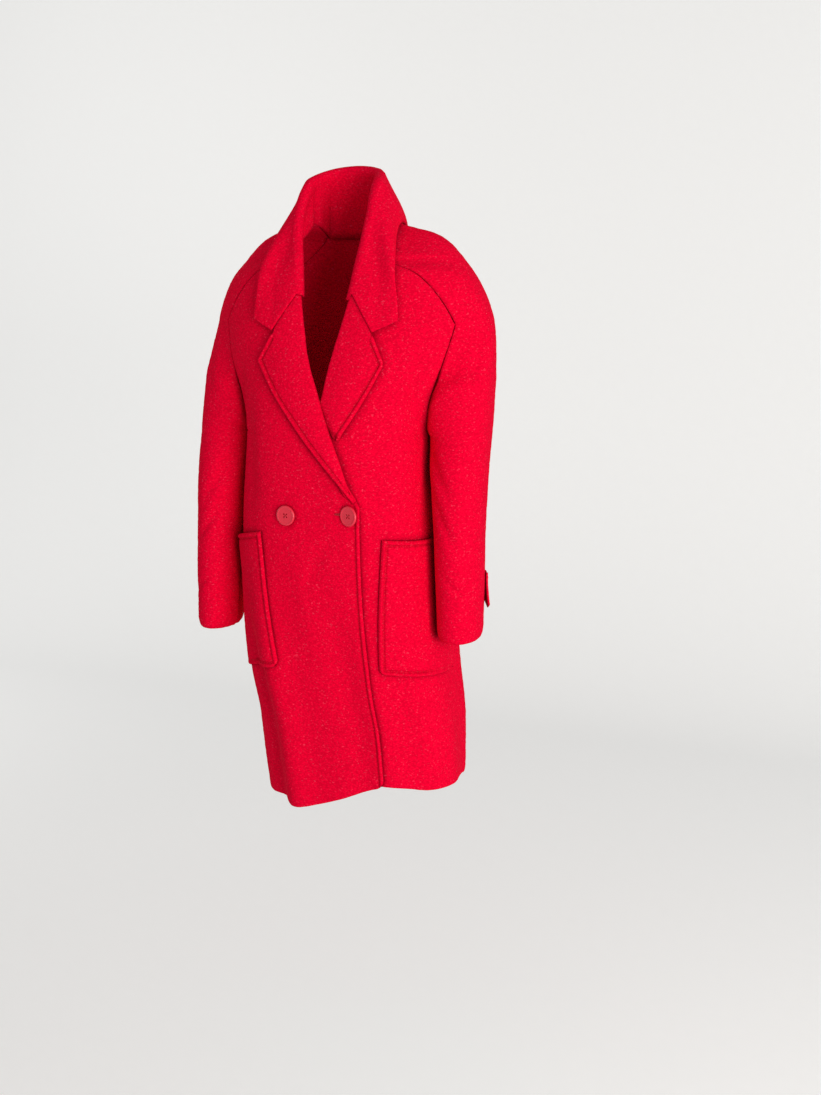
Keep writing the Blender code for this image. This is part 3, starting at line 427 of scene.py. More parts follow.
def colour_property(name, description, hex_colour):
    """Return a colour property that starts from an sRGB hex colour."""
    look = {"subtype": "COLOR", "size": 4, "min": 0.0, "max": 1.0, "default": linear(hex_colour)}
    return bpy.props.FloatVectorProperty(name=name, description=description, **look)


def length_property(name, description, default):
    """Return a length property in metres."""
    size = {"default": default, "unit": "LENGTH", "precision": 4}
    return bpy.props.FloatProperty(name=name, description=description, **size)


class CoatCloth(bpy.types.PropertyGroup):
    """Sizes and colours of the boucle."""

    red: colour_property("Red", "Colour of the looped wool yarn", "F20232")
    # painted shade: the colour that the hollows between the loops take
    shade: colour_property("Shade", "Colour deep between the loops", "D6012A")
    fleck: colour_property("Fleck", "Colour of the paler fibres that catch the light", "FF5272")
    sheen: colour_property("Sheen", "Tint of the light that grazes the nap", "E01838")
    loop: length_property("Loop", "Width of one loop of the yarn", 0.0040)
    fibre: length_property("Fibre", "Width of one tuft of fibre", 0.0024)
    relief: length_property("Relief", "How far the loops stand up in the material", 0.0014)
    grid: length_property("Grid", "Distance between the points of the cloth", 0.0023)
    nub: length_property("Nub", "Width of the nubs that the looped yarn makes", 0.0056)
    nub_rise: length_property("Nub rise", "How far those nubs stand up", 0.00034)


class CoatTrim(bpy.types.PropertyGroup):
    """Sizes and colours of the stitching and the buttons."""

    thread: colour_property("Thread", "Colour of the sewing thread", "C4001C")
    button: colour_property("Button", "Colour of the moulded buttons", "E8243F")
    stitch: length_property("Stitch", "Length of one topstitch", 0.0036)
    pitch: length_property("Pitch", "Distance from one topstitch to the next", 0.0050)
    thread_width: length_property("Thread width", "Thickness of the thread", 0.0007)
    button_radius: length_property("Button radius", "Half of a button's width", 0.0172)
    button_height: length_property("Button height", "Height of a button above the cloth", 0.0056)
    hole_radius: length_property("Hole radius", "Half of a button hole's width", 0.0014)


def smooth_step(value):
    """Return a share that eases from 0 to 1 as the value goes from 0 to 1."""
    share = np.clip(value, 0.0, 1.0)
    return share * share * (3.0 - 2.0 * share)


def smooth_through(places, values, corner=None):
    """Return a curve through the values that never overshoots, with a kink at the corner place."""
    order = np.argsort(places)
    x = np.asarray(places, float)[order]
    y = np.asarray(values, float)[order]
    step = np.diff(x)
    rise = np.diff(y) / step
    slope_in = np.concatenate([rise[:1], rise])
    slope_out = np.concatenate([rise, rise[-1:]])
    same_way = slope_in * slope_out > 0.0
    total = np.where(same_way, slope_in + slope_out, 1.0)
    slope = np.where(same_way, 2.0 * slope_in * slope_out / total, 0.0)
    slope[0] = rise[0]
    slope[-1] = rise[-1]
    kink = np.full(len(x), False) if corner is None else np.isclose(x, corner)
    slope_left = np.where(kink, slope_in, slope)
    slope_right = np.where(kink, slope_out, slope)

    def curve(at):
        at = np.clip(at, x[0], x[-1])
        i = np.clip(np.searchsorted(x, at) - 1, 0, len(step) - 1)
        t = (at - x[i]) / step[i]
        ease = t * t * (3.0 - 2.0 * t)
        start = t * (1.0 - t) ** 2 * step[i] * slope_right[i]
        end = t * t * (t - 1.0) * step[i] * slope_left[i + 1]
        return y[i] + (y[i + 1] - y[i]) * ease + start + end

    return curve


def table_curves(columns, rows, corner=None):
    """Return a curve for each column of a table, over its first column."""
    values = np.array(rows, float)
    return {name: smooth_through(values[:, 0], values[:, k], corner) for k, name in enumerate(columns)}


section = table_curves(SECTION_COLUMNS, SECTIONS)
seam = table_curves(SEAM_COLUMNS, SEAMS, CORNER)
outer = table_curves(OUTER_COLUMNS, OUTER)
inner = table_curves(INNER_COLUMNS, INNER)
roll_line = {sign: table_curves(ROLL_COLUMNS, rows)["distance"] for sign, rows in ROLLS.items()}
hem_over = table_curves(HEM_COLUMNS, HEM_OVER)["height"]
hem_under = table_curves(HEM_COLUMNS, HEM_UNDER)["height"]
hem_back = table_curves(HEM_COLUMNS, HEM_BACK)["height"]


def even_steps(points, count):
    """Return the line again with evenly spaced points, and its length."""
    lengths = np.linalg.norm(np.diff(points, axis=0), axis=1)
    along = np.concatenate([[0.0], np.cumsum(lengths)])
    at = np.linspace(0.0, along[-1], count)
    line = np.stack([np.interp(at, along, points[:, k]) for k in range(points.shape[1])], axis=1)
    return line, along[-1]


def quarter_line(seam_x, seam_y, middle_y, turn, squareness):
    """Return one quarter of a body section, from its middle line to its seam."""
    samples = 0.5 - 0.5 * np.cos(np.linspace(0.0, math.pi, SECTION_SAMPLES))
    angle = samples * math.asin(turn ** (squareness / 2.0))
    x = seam_x / turn * np.sin(angle) ** (2.0 / squareness)
    bow = np.cos(angle) ** (2.0 / squareness)
    share = (bow - bow[-1]) / (bow[0] - bow[-1])
    y = seam_y + (middle_y - seam_y) * share
    return even_steps(np.stack([x, y], axis=1), LATTICE_COLUMNS)


lattice_heights = np.linspace(SECTIONS[0][0], 0.0, LATTICE_ROWS)


def quarter_lattice(side):
    """Return the quarter sections of the front or the back at every lattice height."""
    lines = []
    lengths = []
    for height in lattice_heights:
        line, length = quarter_line(
            seam[side + "_x"](height),
            seam[side + "_y"](height),
            section[side + "_y"](height),
            seam["turn"](height),
            section["squareness"](height),
        )
        lines.append(line)
        lengths.append(length)
    return np.array(lines), np.array(lengths)


front_lines, front_lengths = quarter_lattice("front")
back_lines, back_lengths = quarter_lattice("back")


def lattice_point(lines, share, height):
    """Return the x and y of the point at a share of the way from the middle line to the seam."""
    row_step = lattice_heights[1] - lattice_heights[0]
    row = np.clip((height - lattice_heights[0]) / row_step, 0, LATTICE_ROWS - 1.001)
    column = np.clip(share * (LATTICE_COLUMNS - 1), 0, LATTICE_COLUMNS - 1.001)
    i = row.astype(int)
    j = column.astype(int)
    a = (row - i)[..., None]
    b = (column - j)[..., None]
    low = lines[i, j] * (1 - b) + lines[i, j + 1] * b
    high = lines[i + 1, j] * (1 - b) + lines[i + 1, j + 1] * b
    return low * (1 - a) + high * a


def front_length(height):
    """Return the length of cloth from the centre front to the side seam or the armhole."""
    return np.interp(height, lattice_heights, front_lengths)


def back_length(height):
    """Return the length of cloth from the centre back to the side seam or the armhole."""
    return np.interp(height, lattice_heights, back_lengths)


def seam_shift(height):
    """Return how far the side seam lies behind the widest place, fading to the armhole."""
    return SIDE_SEAM_BACK * smooth_step((UNDERARM - height) / SIDE_SEAM_FADE)


def fold_rise(folds, distance, height):
    """Return how far the folds lift or sink the cloth at a place."""
    total = np.zeros(np.broadcast(distance, height).shape)
    for top, top_height, foot, foot_height, half_width, rise, fades in folds:
        along = np.clip((top_height - height) / (top_height - foot_height), 0.0, 1.0)
        across = (distance - (top + (foot - top) * along)) / half_width
        window = smooth_step(along * FOLD_START)
        if fades:
            window = smooth_step(along * FADING_START) * smooth_step((1.0 - along) * FADING_END)
        total = total + rise * window * np.exp(-across * across)
    return total


def unit(vectors):
    """Return the vectors with length 1."""
    return vectors / np.maximum(np.linalg.norm(vectors, axis=-1, keepdims=True), 1e-9)


def grid_normals(points, side=1.0):
    """Return the unit normals of a grid of points, on the side where its columns cross its rows."""
    return side * unit(np.cross(np.gradient(points, axis=1), np.gradient(points, axis=0)))


def corner_noise(cells, seed):
    """Return a repeatable number from -1 to 1 for each whole-number corner of space."""
    mixed = cells[..., 0] * 73856093 ^ cells[..., 1] * 19349663 ^ cells[..., 2] * 83492791 ^ seed * 2654435761
    mixed = (mixed ^ (mixed >> 13)) * 1274126177 & 0x7FFFFFFF
    return ((mixed ^ (mixed >> 16)) & 0xFFFF) / 32767.5 - 1.0


def soft_noise(points, size, seed):
    """Return smooth noise from about -1 to 1 whose lumps are about the given size across."""
    scaled = points / size
    base = np.floor(scaled).astype(np.int64)
    part = smooth_step(scaled - base)
    total = np.zeros(points.shape[:-1])
    for corner in np.ndindex(2, 2, 2):
        weight = np.prod(np.where(np.array(corner), part, 1.0 - part), axis=-1)
        total += weight * corner_noise(base + np.array(corner), seed)
    return total


def plain_front(distance, height):
    """Return the points of the unfolded body, by distance from the centre front."""
    distance, height = np.broadcast_arrays(np.asarray(distance, float), np.asarray(height, float))
    length = front_length(height)
    away = np.abs(distance)
    before = lattice_point(front_lines, away / length, height)
    behind = lattice_point(back_lines, 1.0 - (away - length) / back_length(height), height)
    flat = np.where((away <= length)[..., None], before, behind)
    x = np.sign(distance) * flat[..., 0] + section["sway"](height)
    return np.stack([x, flat[..., 1], height], axis=-1)


def plain_back(distance, height):
    """Return the points of the unfolded body, by distance from the centre back."""
    distance, height = np.broadcast_arrays(np.asarray(distance, float), np.asarray(height, float))
    flat = lattice_point(back_lines, np.abs(distance) / back_length(height), height)
    x = np.sign(distance) * flat[..., 0] + section["sway"](height)
    return np.stack([x, flat[..., 1], height], axis=-1)


def risen(place, side, first, second, rise):
    """Return a surface's points moved out along its normals; side picks which way is out."""
    across = place(first + PROBE, second) - place(first - PROBE, second)
    along = place(first, second + PROBE) - place(first, second - PROBE)
    normal = side * unit(np.cross(across, along))
    return place(first, second) + normal * rise[..., None]


def front_surface(sign, distance, height):
    """Return points of a front's outer face; sign is -1 for the front that laps over."""
    distance, height = np.broadcast_arrays(np.asarray(distance, float), np.asarray(height, float))
    rise = fold_rise(FRONT_FOLDS, distance, height)
    if sign < 0:
        start, end = LAP_RISE
        foot, top = LAP_FADE
        lap = smooth_step((distance - start) / (end - start)) * smooth_step((top - height) / (top - foot))
        rise = rise + (CLOTH + LAP_GAP) * lap
    return risen(plain_front, 1.0, distance, height, rise)


def back_surface(distance, height):
    """Return points of the back's outer face."""
    return risen(plain_back, -1.0, distance, height, fold_rise(BACK_FOLDS, distance, height))


def bezier(start, start_pull, end_pull, end, t):
    """Return the points of a cubic curve with the given pulls at its ends."""
    t = t[..., None]
    first = start * (1 - t) ** 3 + 3 * (start + start_pull) * t * (1 - t) ** 2
    second = 3 * (end + end_pull) * t * t * (1 - t) + end * t ** 3
    return first + second


def seam_direction(side, height):
    """Return the direction in which a panel's section runs where it meets the sleeve."""
    lines = front_lines if side == "front" else back_lines
    end = lattice_point(lines, np.ones_like(height), height)
    before = lattice_point(lines, np.full_like(height, NEAR_SEAM), height)
    return unit(end - before)


def sleeve_half(side, height, t):
    """Return half of the sleeve's section, from its seam (t = 0) to its outer line (t = 1)."""
    sign = -1.0 if side == "front" else 1.0
    tube = height <= UNDERARM
    start_x = np.where(tube, inner["x"](height), seam[side + "_x"](height))
    start_y = np.where(tube, inner["y"](height), seam[side + "_y"](height))
    start = np.stack([start_x, start_y], axis=-1)
    end = np.stack([outer["x"](height), outer["y"](height)], axis=-1)
    crease = 1.0 - smooth_step((height - UNDERARM) / (CORNER - UNDERARM))
    outward_way = np.broadcast_to(np.array([0.0, sign]), start.shape)
    leave = unit(seam_direction(side, height) * (1 - crease)[..., None] + outward_way * crease[..., None])
    reach = inner["y"](height) + sign * inner["depth"](height)
    start_reach = np.maximum(sign * (reach - start[..., 1]), LEAST_REACH) * 4.0 / 3.0
    end_reach = np.maximum(sign * (reach - end[..., 1]), LEAST_REACH) * 4.0 / 3.0
    first, last = SADDLE_PULLS
    start_pull = (1 - crease) * first * np.linalg.norm(end - start, axis=-1) + crease * start_reach
    end_pull = (1 - crease) * last * np.abs(end[..., 1] - start[..., 1]) + crease * end_reach
    return bezier(start, leave * start_pull[..., None], outward_way * end_pull[..., None], end, t)


def plain_sleeve(around, height):
    """Return points of the left sleeve's outer face, from its front seam (0) to its back seam (1)."""
    around, height = np.broadcast_arrays(np.asarray(around, float), np.asarray(height, float))
    front = sleeve_half("front", height, np.clip(around * 2.0, 0.0, 1.0))
    back = sleeve_half("back", height, np.clip(2.0 - around * 2.0, 0.0, 1.0))
    flat = np.where((around <= 0.5)[..., None], front, back)
    return np.concatenate([flat, height[..., None]], axis=-1)


def sleeve_surface(sign, around, height, lift=0.0):
    """Return points of a sleeve's outer face on its own side, swayed with the upper body."""
    around, height = np.broadcast_arrays(np.asarray(around, float), np.asarray(height, float))
    rise = fold_rise(SLEEVE_FOLDS[sign], around, height) + lift
    points = risen(plain_sleeve, 1.0, around, np.minimum(height, SHOULDER_TOP - PROBE), rise)
    points[..., 2] += height - np.minimum(height, SHOULDER_TOP - PROBE)
    points[..., 0] *= sign
    points[..., 0] += section["sway"](np.maximum(height, SLEEVE_SWAY_FOOT))
    return points


def between_edges(start, end, near_start, near_end, step):
    """Return places from start to end, close together near both; start and end are columns of rows."""
    span = float(np.median(end - start)) - near_start[-1] - near_end[-1]
    middle = np.linspace(0.0, 1.0, max(3, int(round(span / step))) + 1)[1:-1]
    first = start + near_start
    last = end - near_end[::-1]
    return np.concatenate([first, first[:, -1:] + (last[:, :1] - first[:, -1:]) * middle, last], axis=1)


def round_corner(a, b, radius):
    """Return distances from two edges, moved so that their corner is round."""
    u = np.clip(1.0 - a / radius, 0.0, 1.0)
    v = np.clip(1.0 - b / radius, 0.0, 1.0)
    inside = (u > 0.0) & (v > 0.0)
    round_a = radius * (1.0 - u * np.sqrt(1.0 - v * v / 2.0))
    round_b = radius * (1.0 - v * np.sqrt(1.0 - u * u / 2.0))
    return np.where(inside, round_a, a), np.where(inside, round_b, b)


def rounded_off(away, radius, drop):
    """Return how far cloth falls away towards an edge, within a radius of it."""
    share = 1.0 - np.clip(away / radius, 0.0, 1.0)
    return drop * (1.0 - np.sqrt(1.0 - share * share))


def edge_drop(away):
    """Return how far a turned edge rounds off."""
    return rounded_off(away, EDGE_RADIUS, EDGE_DROP)


def hem_edge(away):
    """Return how far the thick turned-up cloth rounds off towards a hem."""
    return rounded_off(away, HEM_RADIUS, HEM_DROP)


def stitched_edge(away):
    """Return the rise of a turned edge: rounded off, puffed up, and drawn in along its topstitching."""
    puff = EDGE_PUFF * np.exp(-(((away - EDGE_MIDDLE) / EDGE_SPREAD) ** 2))
    groove = GROOVE_DEPTH * np.exp(-(((away - STITCHED_EDGE[STITCH_COLUMN]) / GROOVE_WIDTH) ** 2))
    return puff - groove - edge_drop(away)


def sewn_seam(away):
    """Return the rise of cloth beside a seam: it dips into the seam and is full beside it."""
    dip = SEAM_DIP * np.exp(-((away / SEAM_WIDTH) ** 2))
    full = SEAM_PUFF * np.exp(-(((away - SEAM_PUFF_PLACE) / SEAM_PUFF_SPREAD) ** 2))
    return full - dip


def weave_rise(points, cloth):
    """Return the uneven rise of the weave: nubs that lie across it, and a slow unevenness."""
    across = points * NUB_SQUEEZE
    nubs = soft_noise(across, cloth.nub, 11) + 0.5 * soft_noise(across, cloth.nub / 2.0, 23)
    slow = soft_noise(points, UNEVEN_SIZE, 5)
    return cloth.nub_rise * nubs + UNEVEN_RISE * slow


def grid_quads(index):
    """Return the quads of a grid of point numbers."""
    corners = [index[:-1, :-1], index[:-1, 1:], index[1:, 1:], index[1:, :-1]]
    return np.stack(corners, axis=-1).reshape(-1, 4)


def kept_places(count, stride):
    """Return the places of the points that the lining keeps, both ends among them."""
    return np.unique(np.append(np.arange(0, count, stride), count - 1))


def rim_strip(outside, inside, kept):
    """Return the triangles that join a run of face points to the fewer lining points behind it."""
    faces = []
    for k in range(len(kept) - 1):
        middle = (kept[k] + kept[k + 1]) // 2
        for i in range(kept[k], kept[k + 1]):
            faces.append((outside[i + 1], outside[i], inside[k] if i < middle else inside[k + 1]))
        faces.append((outside[middle], inside[k], inside[k + 1]))
    return faces


def shell_mesh(face, lining, side, stride):
    """Return points and faces of a cloth piece from its face and its lining, two grids of points."""
    rows, columns = face.shape[:2]
    kept_rows = kept_places(rows, stride)
    kept_columns = kept_places(columns, stride)
    inside = lining[np.ix_(kept_rows, kept_columns)]
    outer_index = np.arange(rows * columns).reshape(rows, columns)
    inner_index = rows * columns + np.arange(inside.shape[0] * inside.shape[1]).reshape(inside.shape[:2])
    faces = grid_quads(outer_index).tolist() + grid_quads(inner_index)[:, ::-1].tolist()
    faces += rim_strip(outer_index[0], inner_index[0], kept_columns)
    faces += rim_strip(outer_index[:, -1], inner_index[:, -1], kept_rows)
    faces += rim_strip(outer_index[-1, ::-1], inner_index[-1, ::-1], columns - 1 - kept_columns[::-1])
    faces += rim_strip(outer_index[::-1, 0], inner_index[::-1, 0], rows - 1 - kept_rows[::-1])
    if side < 0:
        faces = [face_points[::-1] for face_points in faces]
    return np.concatenate([face.reshape(-1, 3), inside.reshape(-1, 3)]), faces


def tuck_under(points, normals):
    """Return a grid with one more column that runs on under the next piece beyond its last column."""
    run_on = unit(points[:, -1:] - points[:, -2:-1]) * SEAM_ALLOWANCE
    return np.concatenate([points, points[:, -1:] + run_on - normals[:, -1:] * SEAM_TUCK], axis=1)


def one_more_column(values):
    """Return a grid of values with its last column twice."""
    return np.concatenate([values, values[:, -1:]], axis=1)


def new_mesh(name, vertices, faces):
    """Return a mesh of the given points and faces."""
    mesh = bpy.data.meshes.new(name)
    mesh.from_pydata(np.asarray(vertices).tolist(), [], faces)
    mesh.update()
    return mesh


def linked(name, mesh):
    """Return a new object of the mesh, in the scene."""
    item = bpy.data.objects.new(name, mesh)
    bpy.context.scene.collection.objects.link(item)
    return item


def dressed(name, mesh, material, replaced=()):
    """Add a mesh as one piece of the coat, which rides on the coat's one body."""
    mesh.shade_smooth()
    mesh.materials.clear()
    mesh.materials.append(material)
    piece = linked(name, mesh)
    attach(piece, "root")
    if replaced:
        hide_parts(*replaced)
    return piece


def add_piece(name, vertices, faces, material, slot, replaced=()):
    """Add one piece of the coat from its points and faces."""
    return dressed(name, new_mesh(name, vertices, faces), material, replaced)


def add_cloth(name, points, side, rise, drop, cloth, material, replaced, **options):
    """Add a cloth piece from the points of its outer face; rise and drop shape its face and its lining.

    Options: thickness of the cloth, stride of the lining's points, and tucks for how many of the
    piece's two sides (the last, or both) run on under the next piece.
    """
    thickness = options.get("thickness", CLOTH)
    for _ in range(options.get("tucks", 0)):
        points = tuck_under(points, grid_normals(points, side))[:, ::-1]
        rise = one_more_column(rise)[:, ::-1]
        drop = one_more_column(drop)[:, ::-1]
        side = -side
    normals = grid_normals(points, side)
    face = points + normals * (rise + weave_rise(points, cloth))[..., None]
    lining = points - normals * (thickness - drop)[..., None]
    vertices, faces = shell_mesh(face, lining, side, options.get("stride", LINING_STRIDE))
    piece = add_piece(name + "_cloth", vertices, faces, material, "boucle_wool", replaced)
    return piece, face, normals


def circle(sides):
    """Return points round a circle of radius 1."""
    angles = np.arange(sides) * 2.0 * math.pi / sides
    return np.stack([np.cos(angles), np.sin(angles)], axis=1)


def tube_faces(rings, sides):
    """Return the faces of a tube of so many rings of points, closed at both ends."""
    faces = [tuple(range(sides))[::-1], tuple((rings - 1) * sides + j for j in range(sides))]
    for low in range(0, (rings - 1) * sides, sides):
        for j in range(sides):
            n = (j + 1) % sides
            faces.append((low + j, low + n, low + sides + n, low + sides + j))
    return faces


def stitch_shape(settings):
    """Return the points and faces of one stitch, lying along x with its back up z."""
    points = []
    for along, size in STITCH_RINGS:
        sink = settings.thread_width * STITCH_SINK * (2.0 * along) ** 2
        ring = circle(STITCH_SIDES) * settings.thread_width / 2.0 * size - np.array([0.0, sink])
        points.append(np.insert(ring, 0, along * settings.stitch, axis=1))
    return np.concatenate(points), tube_faces(len(STITCH_RINGS), STITCH_SIDES)


def joined(parts):
    """Return many (points, faces) as one."""
    vertices = []
    faces = []
    start = 0
    for points, part_faces in parts:
        vertices.append(points)
        faces += [tuple(i + start for i in face) for face in part_faces]
        start += len(points)
    return np.concatenate(vertices), faces


def at_length(length, along, values):
    """Return the values at a length along a line."""
    return np.array([np.interp(length, along, column) for column in values.T])


def stitches_along(lines, settings):
    """Return the points and faces of topstitching along lines of (points, normals)."""
    shape, shape_faces = stitch_shape(settings)
    stitches = []
    for points, normals in lines:
        both = np.concatenate([points, normals], axis=1)
        lengths = np.linalg.norm(np.diff(points, axis=0), axis=1)
        along = np.concatenate([[0.0], np.cumsum(lengths)])
        count = int(along[-1] / settings.pitch)
        for k in range(count):
            middle = (k + 0.5) * settings.pitch
            place = at_length(middle, along, both)
            ahead = at_length(middle + STITCH_PROBE, along, points)
            run = unit(ahead - at_length(middle - STITCH_PROBE, along, points))
            up = unit(place[3:])
            across = unit(np.cross(up, run))
            up = np.cross(run, across)
            stitches.append((place[:3] + shape @ np.stack([run, across, up]), shape_faces))
    return joined(stitches)


def add_stitching(name, lines, settings, material):
    """Add the topstitching of one piece as a piece of its own."""
    return add_piece("topstitching_" + name, *stitches_along(lines, settings), material, "boucle_wool")


def with_hem(height, hem):
    """Return heights bent below the pockets so that the lowest row follows the hem."""
    share = np.clip((POCKET_FOOT - height) / (POCKET_FOOT - HEM), 0.0, 1.0)
    return height + (hem - HEM) * share


def front_bound(sign, height):
    """Return the place of a front's own edge: its front edge, then inside the lapel's fold."""
    return -roll_line[sign](height) + ROLL_TRIM * smooth_step((height - BREAK - TRIM_START) / TRIM_EASE)


def front_side(height):
    """Return the place of a front's outer edge: the side seam, then the armhole and the saddle seam."""
    return front_length(height) + seam_shift(height) - SEAM_GAP / 2


def rows_up(foot, top, step):
    """Return a column of heights from a hem up to a piece's top, close together near the hem."""
    count = int((top - foot) / step)
    return np.concatenate([foot + PLAIN_EDGE, np.linspace(foot + PLAIN_EDGE[-1], top, count)[1:]])[:, None]


def front_grid(sign, step):
    """Return place, height and the distances from the front edge and the hem, for a front's points."""
    hem_of = hem_over if sign < 0 else hem_under
    rows = rows_up(HEM, FRONT_NECK, step)
    bound = front_bound(sign, rows)
    place = between_edges(bound, front_side(rows), STITCHED_EDGE, SEAM_EDGE, step)
    share = (place - bound) / (front_side(rows) - bound)
    base = np.repeat(rows, place.shape[1], axis=1)
    height = with_hem(base, hem_of(sign * place))
    bound = front_bound(sign, height)
    place = bound + (front_side(height) - bound) * share
    edge = place - bound
    foot = height - with_hem(np.full_like(base, HEM), hem_of(sign * place))
    round_edge, round_foot = round_corner(edge, foot, FRONT_CORNER)
    return place + round_edge - edge, height + round_foot - foot, edge, foot


def add_front(name, sign, cloth, trim, wool, thread):
    """Add one front with its stitched edge, hem and seams."""
    place, height, edge, foot = front_grid(sign, cloth.grid)
    points = front_surface(sign, sign * place, height)
    side_away = front_side(height) - place
    open_edge = smooth_step((BREAK + EDGE_FADE - height) / (2.0 * EDGE_FADE))
    rise = stitched_edge(edge) * open_edge + sewn_seam(side_away) - hem_edge(foot)
    drop = edge_drop(edge) * open_edge
    piece, face, normals = add_cloth(name, points, sign, rise, drop, cloth, wool, (name,), tucks=1)
    column = -1 - STITCH_COLUMN
    below_break = height[:, STITCH_COLUMN] < BREAK - STITCH_TOP
    rows = below_break & (foot[:, STITCH_COLUMN] > STITCH_FOOT)
    line = (face[rows, column], normals[rows, column])
    return piece, add_stitching(name, [line], trim, thread)


def back_half(height):
    """Return the place of the back's edge: the side seam, then the armhole and the saddle seam."""
    return back_length(height) - seam_shift(height) - SEAM_GAP / 2


def add_back(cloth, wool):
    """Add the back panel between the two side seams."""
    step = cloth.grid * BACK_COARSER
    rows = rows_up(HEM, BACK_NECK, step)
    place = between_edges(-back_half(rows), back_half(rows), SEAM_EDGE, SEAM_EDGE, step)
    share = place / back_half(rows)
    height = with_hem(np.repeat(rows, place.shape[1], axis=1), hem_back(place))
    place = share * back_half(height)
    foot = height - with_hem(np.full_like(height, HEM), hem_back(place))
    points = back_surface(place, height)
    rise = sewn_seam(back_half(height) - np.abs(place)) - hem_edge(foot)
    replaced = ("back", "back_yoke")
    return add_cloth("back", points, -1.0, rise, np.zeros_like(rise), cloth, wool, replaced, tucks=2)[0]


def add_sleeve(side, sign, cuff, cloth, wool):
    """Add one sleeve with its saddle; the tube has its seam at the underarm."""
    step = cloth.grid
    rows = rows_up(cuff, SHOULDER_TOP, step)
    rough = plain_sleeve(np.linspace(0.0, 1.0, GIRTH_SAMPLES)[None, :], rows)
    girth = np.linalg.norm(np.diff(rough, axis=1), axis=2).sum(axis=1)[:, None]
    fine_girth = np.maximum(girth, LEAST_GIRTH)
    place = between_edges(np.full_like(girth, SEAM_GAP), fine_girth - SEAM_GAP, SEAM_EDGE, SEAM_EDGE, step)
    around = place / fine_girth
    height = np.repeat(rows, place.shape[1], axis=1)
    foot = height - cuff
    points = sleeve_surface(sign, around, height, -rounded_off(foot, CUFF_RADIUS, CUFF_TURN))
    away = np.minimum(place, fine_girth - place)
    rise = sewn_seam(away) - hem_edge(foot)
    replaced = ("sleeve_" + side, "saddle_" + side)
    return add_cloth(replaced[0], points, sign, rise, np.zeros_like(rise), cloth, wool, replaced)[0]


def bent_line(start, middle, end, middle_share, share):
    """Return points along two straight stretches that meet at the middle point."""
    first = np.clip(share / middle_share, 0.0, 1.0)[..., None]
    second = np.clip((share - middle_share) / (1.0 - middle_share), 0.0, 1.0)[..., None]
    start, middle, end = np.array(start), np.array(middle), np.array(end)
    return start + (middle - start) * first + (end - middle) * second


def lapel_place(sign, across, along):
    """Return the place and height of a lapel's points, from its roll (across 0) to its edge (across 1)."""
    foot_place, foot_height = LAPEL_FEET[sign]
    roll_height = foot_height + (GORGE[1] - foot_height) * along
    roll_place = -roll_line[sign](roll_height) + ROLL_RADIUS
    if sign > 0:
        roll_place = np.maximum(roll_place, roll_line[-1.0](roll_height) - UNDER_TUCK)
    belly = LAPEL_BELLY * np.sin(math.pi * along)
    edge_place = foot_place + (LAPEL_TIP[0] - foot_place) * along + belly
    edge_height = foot_height + (LAPEL_TIP[1] - foot_height) * along
    edge_place = np.maximum(edge_place, roll_place + LEAST_LAPEL)
    top = bent_line(GORGE, NOTCH, LAPEL_TIP, NOTCH_SHARE, across)
    tucked = 1.0 - smooth_step((across - NOTCH_SHARE) / TUCK_EASE + 1.0)
    top[..., 0] += (roll_line[sign](GORGE[1]) - roll_line[sign](GORGE[1] + GORGE_TUCK)) * tucked
    top[..., 1] += GORGE_TUCK * tucked
    straight = np.array(GORGE) + (np.array(LAPEL_TIP) - np.array(GORGE)) * across[..., None]
    bend = (top - straight) * (along ** TOP_BEND)[..., None]
    place = roll_place + (edge_place - roll_place) * across + bend[..., 0]
    height = roll_height + (edge_height - roll_height) * across + bend[..., 1]
    return place, height


def lapel_shares(sign, step):
    """Return across, along and the distances from the outer edge and the top, for a lapel's points."""
    near = STITCHED_EDGE
    foot = np.array(LAPEL_FEET[sign])
    length = float(np.linalg.norm(np.array(LAPEL_TIP) - foot))
    count = int(length / step)
    top_away = np.concatenate([np.linspace(length * (1.0 - LAPEL_START), near[-1], count)[:-1], near[::-1]])
    rows = (1.0 - top_away / length)[:, None]
    place, height = lapel_place(sign, np.array([[0.0, 1.0]]) + 0.0 * rows, rows + np.zeros((1, 2)))
    width = np.hypot(np.diff(place, axis=1), np.diff(height, axis=1))
    squeeze = np.minimum(1.0, width / NARROW_LAPEL)
    columns = int(LAPEL_WIDTH / step)
    inner_share = np.linspace(0.0, 1.0, columns)[None, :-1] * (1.0 - near[-1] * squeeze / width)
    across = np.concatenate([inner_share, 1.0 - near[None, ::-1] * squeeze / width], axis=1)
    edge_away = (1.0 - across) * width
    top_away = np.repeat(top_away[:, None], across.shape[1], axis=1)
    round_edge, round_top = round_corner(edge_away, top_away, LAPEL_CORNER)
    across = 1.0 - round_edge / width
    along = 1.0 - round_top / length
    return across, along, edge_away, top_away


def lapel_wrap(face, covered):
    """Return points of the fold that carries a lapel's first column round behind the front."""
    normals, away = lapel_frame(face)
    angles = np.linspace(1.0, 0.0, 11)[:-1] * math.pi
    points = []
    turn_in = ROLL_TURN_IN * covered
    middle = face[:, 0] - normals * ROLL_RADIUS
    behind = middle - normals * ROLL_RADIUS
    for share in (1.0, 0.5):
        points.append(behind + away * (turn_in * share)[:, None])
    for angle in angles:
        bent = angle * covered
        spoke = normals * np.cos(bent)[:, None] - away * np.sin(bent)[:, None]
        points.append(middle + spoke * ROLL_RADIUS)
    return np.stack(points, axis=1)


